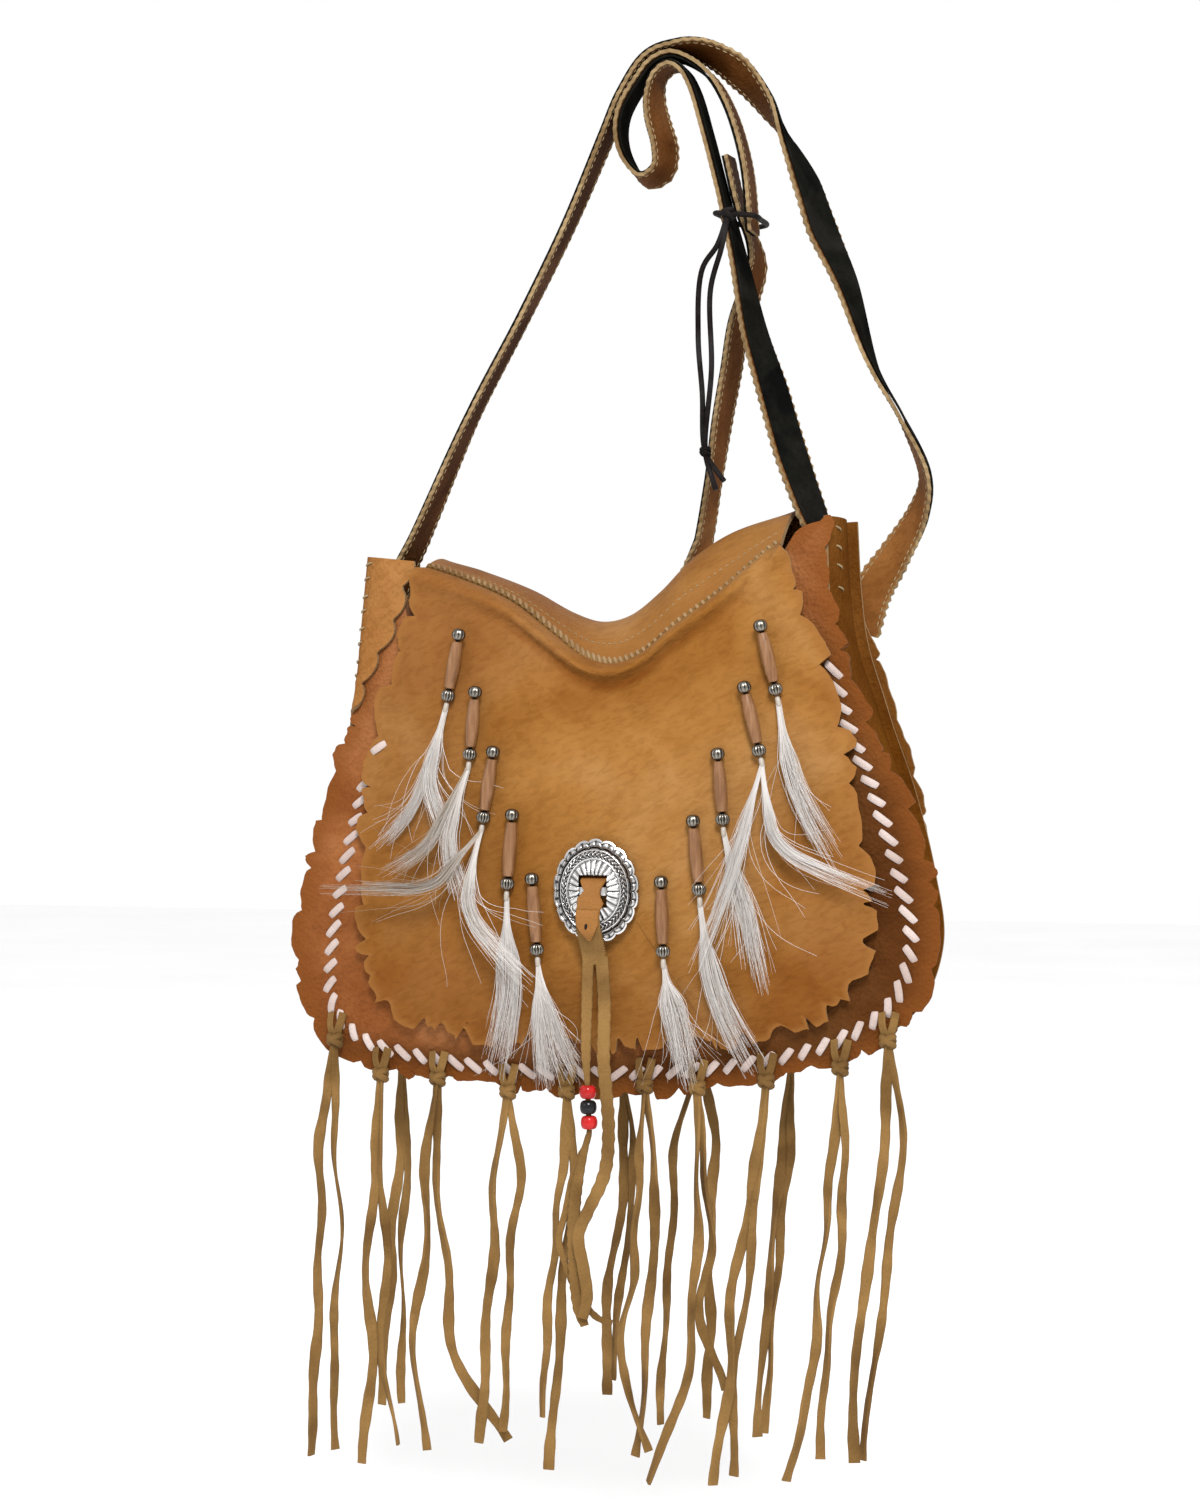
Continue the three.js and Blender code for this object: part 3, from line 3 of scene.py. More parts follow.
import bpy
import numpy as np
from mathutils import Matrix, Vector


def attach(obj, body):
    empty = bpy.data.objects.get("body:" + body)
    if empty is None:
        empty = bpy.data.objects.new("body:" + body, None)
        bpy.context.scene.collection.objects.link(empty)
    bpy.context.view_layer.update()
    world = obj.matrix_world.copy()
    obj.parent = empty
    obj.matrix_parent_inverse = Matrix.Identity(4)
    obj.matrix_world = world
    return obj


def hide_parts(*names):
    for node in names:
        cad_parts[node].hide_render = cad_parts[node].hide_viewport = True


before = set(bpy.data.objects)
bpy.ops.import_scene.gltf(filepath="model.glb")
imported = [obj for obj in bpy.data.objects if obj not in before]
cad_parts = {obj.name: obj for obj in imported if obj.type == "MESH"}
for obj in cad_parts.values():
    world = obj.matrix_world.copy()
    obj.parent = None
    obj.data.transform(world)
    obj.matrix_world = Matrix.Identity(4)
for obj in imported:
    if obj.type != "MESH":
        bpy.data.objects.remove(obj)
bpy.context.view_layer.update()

# Lengths below are millimetres in the shared frame; meshes are made in metres
MM = 0.001
TURN = 2 * math.pi
FINE_STEPS = 60
SEED = 7
rng = np.random.default_rng(SEED)


# Small number helpers
def table(names, *rows):
    return dict(zip(names.split(), np.array(rows, float).T))


def columns(rows, *names):
    return np.stack([rows[name] for name in names], axis=1)


def xyz(x, y, z):
    """Points from three columns; a single number fills its column."""
    return np.stack(np.broadcast_arrays(x, y, z), axis=-1).astype(float)


def mix(a, b, share):
    return a + (b - a) * share


def smooth(value, low, high):
    share = np.clip((value - low) / (high - low), 0, 1)
    return share * share * (3 - 2 * share)


def bell(value, middle, width):
    return np.exp(-((value - middle) / width) ** 2)


def unit(vectors):
    return vectors / np.linalg.norm(vectors, axis=-1, keepdims=True)


def reader(rows, key, column):
    """A smooth curve through one column of a table, read at values of its key column."""
    keys = rows[key]
    values = rows[column]
    last = len(keys) - 1
    before = np.maximum(np.arange(last + 1) - 1, 0)
    after = np.minimum(np.arange(last + 1) + 1, last)
    slopes = (values[after] - values[before]) / (keys[after] - keys[before])

    def read(value):
        value = np.asarray(value, float)
        i = np.searchsorted(keys[1:-1], value)
        span = keys[i + 1] - keys[i]
        t = np.clip((value - keys[i]) / span, 0, 1)
        rest = 1 - t
        start = values[i] * (1 + 2 * t) * rest * rest
        end = values[i + 1] * (3 - 2 * t) * t * t
        bend = slopes[i] * t * rest * rest - slopes[i + 1] * t * t * rest
        return start + end + bend * span

    return read


def column_along(values, shares):
    """A column of a table read along its rows, 0 at the first and 1 at the last."""
    return np.interp(shares, np.linspace(0, 1, len(values)), values)


def curve_at(points, shares, closed=False):
    """Points and directions of a centripetal curve through the given points."""
    points = np.asarray(points, float)
    if closed:
        spread_out = np.vstack([points[-1:], points, points[:2]])
    else:
        first = 2 * points[:1] - points[1:2]
        final = 2 * points[-1:] - points[-2:-1]
        spread_out = np.vstack([first, points, final])
    spans = len(spread_out) - 3
    place = np.clip(shares, 0, 1) * spans
    i = np.minimum(place.astype(int), spans - 1)
    t = (place - i)[:, None]
    a, b, c, d = (spread_out[i + k] for k in range(4))
    chords = (b - a, c - b, d - c)
    step_in, step, step_out = (np.linalg.norm(chord, axis=1, keepdims=True) ** 0.5 for chord in chords)
    go = ((b - a) / step_in - (c - a) / (step_in + step) + (c - b) / step) * step
    stop = ((c - b) / step - (d - b) / (step + step_out) + (d - c) / step_out) * step
    square = 3 * (c - b) - 2 * go - stop
    cube = 2 * (b - c) + go + stop
    at = b + t * (go + t * (square + t * cube))
    direction = go + t * (2 * square + t * 3 * cube)
    return at, unit(direction)


def even_shares(points, count, closed=False):
    """Shares that walk a curve in equal steps, and its length."""
    fine = np.linspace(0, 1, FINE_STEPS * len(points))
    at, _ = curve_at(points, fine, closed)
    run = np.concatenate([[0], np.cumsum(np.linalg.norm(np.diff(at, axis=0), axis=1))])
    return np.interp(np.linspace(0, run[-1], count), run, fine), run[-1]


# Camera at the photograph's angle
PICTURE_HEIGHT = 1500
FOCAL_PIXELS = 2795
SENSOR = 36
CAMERA_AZIMUTH = math.radians(16)
CAMERA_DISTANCE = 1300
CAMERA_TARGET = np.array([-20.3, -55.0, -331.6])
camera_data = bpy.data.cameras.new("camera")
camera_data.sensor_width = SENSOR
camera_data.lens = SENSOR * FOCAL_PIXELS / PICTURE_HEIGHT
camera = bpy.data.objects.new("camera", camera_data)
camera_way = np.array([-math.sin(CAMERA_AZIMUTH), math.cos(CAMERA_AZIMUTH), 0])
camera.location = Vector((CAMERA_TARGET - camera_way * CAMERA_DISTANCE) * MM)
camera.rotation_euler = Vector(camera_way).to_track_quat("-Z", "Y").to_euler()
bpy.context.scene.collection.objects.link(camera)
bpy.context.scene.camera = camera


# Materials
class Look:
    """A material whose nodes are added one by one."""

    def __init__(self, name):
        self.material = bpy.data.materials.new(name)
        self.material.use_nodes = True
        self.tree = self.material.node_tree

    def put(self, socket, value):
        """Link a socket to another node's output, or set it to a constant."""
        if isinstance(value, bpy.types.NodeSocket):
            self.tree.links.new(value, socket)
        else:
            socket.default_value = value

    def node(self, kind, sockets):
        made = self.tree.nodes.new("ShaderNode" + kind)
        for name, value in sockets.items():
            self.put(made.inputs[name], value)
        return made

    def place(self):
        return self.node("TexCoord", {}).outputs["Object"]

    def drawn_out(self, place, kind, scale, turn=0.0):
        """Coordinates turned in the front plane and scaled, so that a noise runs in lines."""
        made = self.node("Mapping", {"Vector": place, "Rotation": (0, turn, 0), "Scale": scale})
        made.vector_type = kind
        return made.outputs["Vector"]

    def stored(self, name):
        """A value stored at the points of the mesh."""
        made = self.node("Attribute", {})
        made.attribute_name = name
        return made.outputs["Fac"]

    def noise(self, place, scale, detail, distortion=0.0):
        sockets = {"Vector": place, "Scale": scale, "Detail": detail, "Distortion": distortion}
        return self.node("TexNoise", sockets).outputs["Fac"]

    def ramp(self, source, *stops):
        """A colour ramp; each stop is a place and a colour, or a grey given as one number."""
        made = self.node("ValToRGB", {"Fac": source})
        elements = made.color_ramp.elements
        while len(elements) < len(stops):
            elements.new(0.5)
        for element, (place, colour) in zip(elements, stops):
            element.position = place
            element.color = (*np.broadcast_to(colour, 3).astype(float), 1)
        return made.outputs["Color"]

    def mixed(self, kind, share, first, second):
        made = self.node("Mix", {})
        made.data_type = "RGBA"
        made.blend_type = kind
        sockets = [socket for socket in made.inputs if socket.enabled]
        for socket, value in zip(sockets, (share, first, second)):
            self.put(socket, value)
        return next(socket for socket in made.outputs if socket.enabled)

    def bump(self, height, distance, strength, before=None):
        sockets = {"Height": height, "Distance": distance, "Strength": strength}
        if before is not None:
            sockets["Normal"] = before
        return self.node("Bump", sockets).outputs["Normal"]

    def done(self, sockets):
        """Fill the shader's sockets and hand over the material."""
        shader = self.tree.nodes["Principled BSDF"]
        for name, value in sockets.items():
            self.put(shader.inputs[name], value)
        return self.material


STAIN_SCALE = 52
STAIN = (0.84, 0.76, 0.66)
STAIN_SHARE = 0.4
STAIN_DEPTH = 0.0012
WRINKLE_SCALE = 430
WRINKLE_STRETCH = (2.4, 1, 1)
WRINKLE_SLANT = math.radians(-24)
WRINKLE_DEPTH = 0.0009
FURROW = (0.74, 0.68, 0.6)
FURROW_SHARE = 0.5
WARM_SHINE = (0.9, 0.55, 0.3, 1)


def leather(name, dark, middle, light, roughness, pebble, depth, mottle=14, edge=None, deep=None, gloss=0.08):
    """Leather with mottled colour, pebbles and fine wrinkles, an edge colour (on the panels and flap partly
    painted shade), and a deeper colour for painted shade.
    """
    look = Look(name)
    place = look.place()
    wide = look.noise(place, mottle, detail=6, distortion=0.6)
    cloud = look.noise(place, STAIN_SCALE, detail=4, distortion=0.9)
    slanted = look.drawn_out(place, "TEXTURE", WRINKLE_STRETCH, WRINKLE_SLANT)
    wrinkle = look.noise(slanted, WRINKLE_SCALE, detail=2, distortion=0.6)
    colour = look.ramp(wide, (0.35, dark), (0.5, middle), (0.66, light))
    colour = look.mixed("MULTIPLY", STAIN_SHARE, colour, look.ramp(cloud, (0.36, STAIN), (0.56, 1)))
    colour = look.mixed("MULTIPLY", FURROW_SHARE, colour, look.ramp(wrinkle, (0.34, FURROW), (0.56, 1)))
    # Painted shade: deep is multiplied into the colour where the points carry painted shade.
    if deep is not None:
        colour = look.mixed("MULTIPLY", look.stored("painted_shade"), colour, (*deep, 1))
    # Edge colour: the pale pinked edge on the straps; on the panels and flap a darker rim, partly the cut
    # edge's own colour and partly painted shade.
    if edge is not None:
        colour = look.mixed("MIX", look.stored("edge"), colour, (*edge, 1))
    cells = look.node("TexVoronoi", {"Vector": place, "Scale": pebble}).outputs["Distance"]
    normal = look.bump(cloud, STAIN_DEPTH, strength=0.3)
    normal = look.bump(wrinkle, WRINKLE_DEPTH, strength=0.6, before=normal)
    normal = look.bump(cells, depth, strength=0.6, before=normal)
    shine = look.ramp(wide, (0.3, roughness + 0.1), (0.8, roughness - 0.08))
    return look.done({"Base Color": colour, "Normal": normal, "Roughness": shine,
                      "Specular IOR Level": gloss, "Specular Tint": WARM_SHINE})


def suede_like(name, dark, light, scale=260, roughness=0.92):
    """Napped or raw leather: soft speckle and a fibrous bump."""
    look = Look(name)
    place = look.place()
    wide = look.noise(place, scale * 0.12, detail=5, distortion=0.8)
    fibre = look.noise(place, scale * 5, detail=3)
    speckle = look.ramp(fibre, (0.25, 0.7), (0.75, 1))
    colour = look.mixed("MULTIPLY", 0.7, look.ramp(wide, (0.32, dark), (0.68, light)), speckle)
    return look.done({"Base Color": colour, "Normal": look.bump(fibre, 0.0004, strength=0.7),
                      "Roughness": roughness, "Specular IOR Level": 0.2})


def metal(name, hollow, bright, roughness, scale):
    """Cast metal, darker in its hollows, with fine scratches."""
    look = Look(name)
    place = look.place()
    patina = look.ramp(look.noise(place, scale, detail=5), (0.3, 0.72), (0.65, 1))
    colour = look.ramp(look.stored("rise"), (0.1, hollow), (0.75, bright))
    scratches = look.noise(place, scale * 8, detail=4)
    return look.done({"Base Color": look.mixed("MULTIPLY", 0.6, colour, patina),
                      "Normal": look.bump(scratches, 0.00008, strength=0.5),
                      "Metallic": 1.0, "Roughness": roughness})


def hair_look(name, dark, middle, light):
    look = Look(name)
    colour = look.ramp(look.stored("tint"), (0.0, dark), (0.35, middle), (1.0, light))
    return look.done({"Base Color": colour, "Roughness": 0.42, "Specular IOR Level": 0.45})


def bone_look(name, dark, middle, light):
    """Bone with streaks along its length, a little light passing into it."""
    look = Look(name)
    lengthwise = look.drawn_out(look.place(), "POINT", (1, 1, 0.12))
    streak = look.noise(lengthwise, 700, detail=5, distortion=0.4)
    colour = look.ramp(streak, (0.25, dark), (0.5, middle), (0.75, light))
    return look.done({"Base Color": colour, "Normal": look.bump(streak, 0.0001, strength=0.4),
                      "Roughness": 0.33, "Specular IOR Level": 0.35,
                      "Subsurface Weight": 0.08, "Subsurface Radius": (0.002, 0.001, 0.0006)})


def gloss_look(name, colour):
    look = Look(name)
    cloud = look.noise(look.place(), 300, detail=3)
    deep = tuple(0.7 * part for part in colour)
    return look.done({"Base Color": look.ramp(cloud, (0.35, deep), (0.65, colour)), "Roughness": 0.14,
                      "Normal": look.bump(cloud, 0.00005, strength=0.3), "Specular IOR Level": 0.22})


# Each leather's deep colour is multiplied in where painted shade lies; the darker edge colours of the panels
# and flap are partly painted shade.
RUSSET = leather("russet_leather", (0.14, 0.044, 0.012), (0.195, 0.069, 0.022), (0.245, 0.1, 0.039), 0.58,
                 pebble=560, depth=0.0008, edge=(0.12, 0.036, 0.007), deep=(0.28, 0.25, 0.17))
TAN = leather("tan_leather", (0.165, 0.066, 0.013), (0.212, 0.096, 0.024), (0.25, 0.128, 0.044), 0.52,
              pebble=1300, depth=0.0001, mottle=12, edge=(0.18, 0.076, 0.02), deep=(0.66, 0.53, 0.42),
              gloss=0.05)
OLIVE = leather("olive_leather", (0.15, 0.06, 0.015), (0.2, 0.085, 0.024), (0.235, 0.108, 0.034), 0.56,
                pebble=560, depth=0.0006, edge=(0.11, 0.042, 0.009), deep=(0.44, 0.35, 0.16), gloss=0.0)
STRAP = leather("strap_leather", (0.085, 0.03, 0.007), (0.13, 0.049, 0.012), (0.18, 0.073, 0.02), 0.62,
                pebble=1000, depth=0.00012, mottle=30, edge=(0.17, 0.108, 0.05), deep=(0.4, 0.36, 0.34),
                gloss=0.03)
BLACK = leather("black_lining", (0.003, 0.003, 0.003), (0.006, 0.006, 0.005), (0.011, 0.01, 0.009), 0.85,
                pebble=900, depth=0.0001, mottle=40, gloss=0.0)
LACE_BLACK = leather("black_lace", (0.003, 0.003, 0.004), (0.006, 0.006, 0.007), (0.013, 0.013, 0.015), 0.6,
                     pebble=1200, depth=0.0001, mottle=60)
RAW_RUSSET = suede_like("raw_russet_edge", (0.07, 0.026, 0.009), (0.14, 0.06, 0.024))
RAW_TAN = suede_like("raw_tan_edge", (0.17, 0.092, 0.038), (0.26, 0.165, 0.08))
PALE_EDGE = suede_like("pale_pinked_edge", (0.13, 0.08, 0.033), (0.26, 0.18, 0.09), 400)
SUEDE = suede_like("tan_suede", (0.095, 0.047, 0.011), (0.21, 0.115, 0.034), 200)
THONG_TAN = suede_like("thong_leather", (0.17, 0.065, 0.012), (0.26, 0.115, 0.026), 200, 0.7)
LACE = suede_like("pale_lace", (0.33, 0.25, 0.22), (0.46, 0.38, 0.35), 300, 0.7)
THREAD = suede_like("pale_thread", (0.2, 0.14, 0.07), (0.3, 0.22, 0.12), 500, 0.8)
# A dark sliver for the slit in the thong: painted shadow.
SLIT_SHADOW = suede_like("painted_slit_shadow", (0.004, 0.002, 0.001), (0.01, 0.005, 0.003), 300)
SILVER = metal("worn_silver", (0.02, 0.019, 0.018), (0.56, 0.55, 0.54), 0.25, 160)
DARK_METAL = metal("antique_metal", (0.008, 0.007, 0.006), (0.2, 0.185, 0.16), 0.27, 240)
HAIR = hair_look("horse_hair", (0.15, 0.105, 0.06), (0.25, 0.21, 0.165), (0.41, 0.385, 0.37))
BONE = bone_look("bone", (0.095, 0.038, 0.012), (0.15, 0.068, 0.026), (0.2, 0.1, 0.045))
RED = gloss_look("red_gloss", (0.36, 0.01, 0.009))
JET = gloss_look("black_gloss", (0.006, 0.006, 0.007))


# Meshes
def make_piece(name, points, faces, materials, slot, node=None, marks=None, values=None, sharp=38):
    """A shaded mesh object that rides on the bag, in place of a solid where one is named."""
    mesh = bpy.data.meshes.new(name)
    mesh.from_pydata((np.asarray(points) * MM).tolist(), [], [list(map(int, face)) for face in faces])
    for material in materials:
        mesh.materials.append(material)
    if marks is not None:
        mesh.polygons.foreach_set("material_index", np.asarray(marks, np.int32))
    for key, column in (values or {}).items():
        layer = mesh.attributes.new(key, "FLOAT", "POINT")
        layer.data.foreach_set("value", np.asarray(column, np.float32))
    mesh.shade_smooth()
    mesh.set_sharp_from_angle(angle=math.radians(sharp))
    mesh.update()
    made = bpy.data.objects.new(name, mesh)
    bpy.context.scene.collection.objects.link(made)
    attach(made, "root")
    if node is not None:
        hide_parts(node)
    return made


class Parts:
    """Points and faces of several bodies gathered into one mesh."""

    def __init__(self):
        self.points = []
        self.faces = []
        self.marks = []
        self.values = []
        self.count = 0

    def add(self, points, faces, mark=0, value=0.0):
        self.points.append(np.asarray(points, float))
        self.faces.extend([tuple(corner + self.count for corner in face) for face in faces])
        self.marks.extend([mark] * len(faces))
        self.values.append(np.broadcast_to(np.asarray(value, float), (len(points),)))
        self.count += len(points)

    def piece(self, name, materials, slot, node=None, key="edge", sharp=38):
        points = np.vstack(self.points)
        values = {key: np.concatenate(self.values)}
        return make_piece(name, points, self.faces, materials, slot, node, self.marks, values, sharp)


def grid_faces(rows, across, closed_across=False, closed_rows=False):
    faces = []
    row_steps = rows if closed_rows else rows - 1
    across_steps = across if closed_across else across - 1
    for i in range(row_steps):
        here = i * across
        there = (i + 1) % rows * across
        for j in range(across_steps):
            side = (j + 1) % across
            faces.append((here + j, here + side, there + side, there + j))
    return faces


def disc_faces(rings, count):
    """Faces of a disc of rings round a middle point, which comes first."""
    faces = [(0, 1 + j, 1 + (j + 1) % count) for j in range(count)]
    faces += [(1 + a, 1 + d, 1 + c, 1 + b) for a, b, c, d in grid_faces(rings, count, True)]
    return faces


def tube(rings, closed=False):
    """A body lofted through rings of corners, capped unless closed."""
    count, sides, _ = rings.shape
    faces = grid_faces(count, sides, True, closed)
    if not closed:
        faces.append(tuple(range(sides - 1, -1, -1)))
        faces.append(tuple(range((count - 1) * sides, count * sides)))
    return rings.reshape(-1, 3), faces


def rings_about(at, across, face, wide, high):
    """Rings of corners about a line of points, from their distances along its two cross directions."""
    return at[:, None] + wide[..., None] * across[:, None] + high[..., None] * face[:, None]


def round_body(at, across, face, radius, sides, closed=False, flat=1.0):
    """A round cord through the given points, flattened towards its face by the last share."""
    angles = np.arange(sides) * TURN / sides
    radius = np.broadcast_to(radius, len(at))[:, None]
    rings = rings_about(at, across, face, radius * np.cos(angles), flat * radius * np.sin(angles))
    return tube(rings, closed)


def vertex_normals(points, faces):
    normals = np.zeros_like(points)
    for size in (3, 4):
        same = np.array([face for face in faces if len(face) == size], int)
        if len(same) == 0:
            continue
        a, b, c = (points[same[:, k]] for k in (0, 1, 2))
        across = np.cross(c - a, points[same[:, 3]] - b) if size == 4 else np.cross(b - a, c - a)
        for k in range(size):
            np.add.at(normals, same[:, k], across)
    return unit(normals + 1e-12)


def body_between(upper, lower, faces):
    """A closed body between two surfaces; marks are 0 on the upper one, 1 on the rim, 2 on the lower one."""
    count = len(upper)
    borders = {}
    for face in faces:
        for a, b in zip(face, face[1:] + face[:1]):
            if borders.pop((b, a), None) is None:
                borders[(a, b)] = True
    made = list(faces) + [tuple(corner + count for corner in reversed(face)) for face in faces]
    marks = [0] * len(faces) + [2] * len(faces)
    for a, b in borders:
        made.append((b, a, a + count, b + count))
        marks.append(1)
    return np.vstack([upper, lower]), made, marks


def ribbon_frame(direction, turn):
    """Width and face directions of a flat strip; no turn lays its width along Y."""
    level = unit(np.array([0, 1, 0]) - direction * direction[:, 1:2])
    other = np.cross(direction, level)
    turn = np.broadcast_to(turn, len(direction))[:, None]
    across = level * np.cos(turn) + other * np.sin(turn)
    return across, np.cross(across, direction)


RIBBON_CORNERS = table(
    "side inset top drop",
    (-1, 1, -1, 0), (1, -1, -1, 0), (1, 0, -1, 1), (1, 0, 1, -1),
    (1, -1, 1, 0), (-1, 1, 1, 0), (-1, 0, 1, -1), (-1, 0, -1, 1),
)


def ribbon(at, across, face, half, thickness, corner=0.35):
    """A flat strip with softened corners through the given points; half is its half width at each."""
    soft = min(corner, thickness / 2 * 0.8)
    half = np.broadcast_to(half, len(at))[:, None]
    wide = half * RIBBON_CORNERS["side"] + soft * RIBBON_CORNERS["inset"]
    high = thickness / 2 * RIBBON_CORNERS["top"] + soft * RIBBON_CORNERS["drop"]
    return tube(rings_about(at, across, face, wide, high))


def turned_body(profile, sides, flute=None, closed=False):
    """A turned body about Z from radius and height rows; flute changes the radius with angle and height."""
    angles = np.arange(sides) * TURN / sides
    radius, height = np.array(profile, float).T[:, :, None]
    if flute is not None:
        radius = radius * flute(angles, height)
    return tube(xyz(radius * np.cos(angles), radius * np.sin(angles), height), closed)


def placed(points, middle, up):
    """Points made about Z moved so that Z runs along up through middle."""
    spin = np.array(Vector((0, 0, 1)).rotation_difference(Vector(up)).to_matrix())
    return points @ spin.T + middle


# Black lace that ties the straps, a cord of two strands
LACE_DIAMETER = 2.6
LACE_WRAP = table(
    "x y z",
    (27, -20.8, -78), (35, -21.9, -79), (44.8, -20.5, -80), (45.8, -8, -80),
    (44, 11, -79), (35.5, 19, -78), (28, 11, -77), (26.2, -8, -77),
)
LACE_STRANDS = {
    "long": table(
        "x y z",
        (33, -22, -79), (28, -22, -93), (20, -20, -104), (17.5, -18, -135),
        (19, -16, -162), (20, -14, -190), (26, -13, -200), (29, -13, -204),
    ),
    "short": table(
        "x y z",
        (33, -22, -79), (30, -22, -94), (24, -20, -114), (24, -18, -151),
        (20, -14, -190), (23, -13, -202), (25, -13, -208),
    ),
}
LACE_KNOTS = table("x y z radius", (33, -22, -79, 3.2), (20, -14, -190, 2.8))
LACE_KNOT_WRAPS = 2.3
LACE_STEPS = 70
WRAP_STEPS = 61
KNOT_STEPS = 40
KNOT_SIZE = 0.62
KNOT_CORD = 0.42
KNOT_LEAN = 0.9
KNOT_LEANS = 1.5


def lace_tube(rows, count, closed=False):
    points = columns(rows, "x", "y", "z")
    shares, length = even_shares(points, count, closed)
    if closed:
        shares = shares[:-1]
    at, direction = curve_at(points, shares, closed)
    sideways = np.array([0.0, 0, 1]) if closed else np.array([0.0, 1, 0])
    across = unit(sideways - direction * (direction @ sideways)[:, None])
    return round_body(at, across, np.cross(direction, across), LACE_DIAMETER / 2, 10, closed), at, length


def lumpy_knot(middle, radius, wraps):
    """A tight knot: a cord wound closely round itself."""
    turns = np.linspace(0, 1, KNOT_STEPS)
    angle = TURN * wraps * turns
    lean = KNOT_LEAN * np.sin(TURN * turns * KNOT_LEANS)
    at = radius * xyz(np.cos(angle), np.sin(angle), lean) * KNOT_SIZE + middle
    direction = unit(np.gradient(at, axis=0))
    across = unit(np.cross(direction, unit(at - middle + 1e-9)))
    return round_body(at, across, np.cross(direction, across), radius * KNOT_CORD, 8)


for lace_name, lace_rows in LACE_STRANDS.items():
    lace_body, lace_middle, lace_length = lace_tube(lace_rows, LACE_STEPS)
    lace_piece = make_piece(f"strap_lace_{lace_name}", *lace_body, [LACE_BLACK], "black_lace")
lace_ties = Parts()
lace_ties.add(*lace_tube(LACE_WRAP, WRAP_STEPS, True)[0])
for *knot_middle, knot_radius in columns(LACE_KNOTS, "x", "y", "z", "radius"):
    lace_ties.add(*lumpy_knot(np.array(knot_middle), knot_radius, LACE_KNOT_WRAPS))
lace_tie = lace_ties.piece("strap_lace_ties", [LACE_BLACK], "black_lace", "strap_lace")


# Body: lacing line, rounding of the walls and edges
LEATHER = 1.8
GUSSET_LEATHER = 1.6
GAP = 0.35
BAG_X = -17
BODY_CENTRE_Z = -385
FRONT_SEAM_Y = -46
BACK_SEAM_Y = 2
BACK_FOOT_Y = -8
BACK_HIGH_Z = -300
BACK_LOW_Z = -450
FRONT_BULGE = 12
BACK_BULGE = 5
LIP_SWEEP = 0.14
SCALLOP_DEPTH = 3.4
FRONT_LOBES = 46
BACK_LOBES = 30
LOBE_STEPS = 10
NICK_SHARE = 0.45
MOUTH_DROP = 31
MOUTH_SLIM = 0.45
MOUTH_LOW_Z = -345
MOUTH_HIGH_Z = -270
MOUTH_EDGE_Z = -246
SEAM = table(
    "x z",
    (-103, -241), (-107, -275), (-113, -315), (-124, -352), (-134, -392), (-140, -428), (-139, -455),
    (-124, -470), (-92, -478), (-40, -483), (15, -482), (66, -476), (108, -464), (132, -447),
    (141, -421), (136, -391), (125, -354), (112, -320), (104, -288), (101, -255), (100, -224),
)
DIP = table(
    "x crest seam",
    (-108, -228, -241), (-100, -238.5, -243), (-75, -247, -251), (-50, -256.5, -262), (-30, -267, -277),
    (-15, -271, -288), (0, -267, -292), (15, -255, -287), (30, -240, -275), (50, -228, -261),
    (80, -220, -237), (104, -211, -226),
)
MOUTH_RISE = table("x z", (55, -291), (80, -250), (86, -234), (93, -228.5), (104, -226))
LIP = table(
    "at lip",
    (0, 13), (0.07, 12.5), (0.085, 13), (0.1, 13), (0.114, 14), (0.13, 17), (0.155, 17.5), (0.21, 17.5),
    (0.255, 18.5), (0.28, 16), (0.3, 12.5), (0.33, 10), (0.41, 6), (0.5, 9), (0.57, 7), (0.62, 7),
    (0.68, 9), (0.75, 12), (0.82, 11.5), (0.87, 7.5), (0.9, 6), (0.92, 4), (0.94, 2), (0.96, 1), (1, 0),
)
BACK_LIP = table(
    "at lip",
    (0, 14), (0.3, 13), (0.45, 9), (0.62, 7), (0.7, 5), (0.76, 7.5), (0.82, 12), (0.87, 14.5), (0.915, 11.5),
    (0.937, 8), (0.95, 5), (0.964, 2.5), (1, 0.5),
)
MOUTH = table("x z", (0, -262), (60, -243))
seam_z = reader(DIP, "x", "seam")
crest_z = reader(DIP, "x", "crest")
mouth_rise = reader(MOUTH_RISE, "x", "z")


class Outline:
    """A line in the plane of X and Z walked by its length."""

    def __init__(self, rows):
        points = xyz(rows["x"] + BAG_X, 0, rows["z"])
        fine, self.length = even_shares(points, 1600)
        self.at, self.direction = curve_at(points, fine)

    def moved_out(self, shares, out):
        shares = np.clip(shares, 0, 1)
        even = np.linspace(0, 1, len(self.at))
        point = [np.interp(shares, even, self.at[:, k]) for k in (0, 2)]
        way = [np.interp(shares, even, self.direction[:, k]) for k in (0, 2)]
        return point[0] + way[1] * out, point[1] - way[0] * out


seam = Outline(SEAM)


def radius_rows():
    """The seam and the mouth as angles about the bag's middle and distances from it."""
    x, z = seam.moved_out(np.linspace(0, 1, 161), 0)
    x = np.concatenate([x - BAG_X, MOUTH["x"][::-1]])
    down = BODY_CENTRE_Z - np.concatenate([z, MOUTH["z"][::-1]])
    angle = np.arctan2(x, down)
    radius = np.hypot(x, down)
    return np.concatenate([-angle[:-3:-1], angle]), np.concatenate([radius[:-3:-1], radius])


RADIUS_ANGLES, RADII = radius_rows()


def share_of_seam(x, z):
    """How far a point lies from the middle as a share of the seam's distance, and how far past the seam."""
    down = BODY_CENTRE_Z - z
    radius = np.interp(np.arctan2(x - BAG_X, down), RADIUS_ANGLES, RADII)
    distance = np.hypot(x - BAG_X, down)
    return distance / radius, np.maximum(distance - radius, 0)


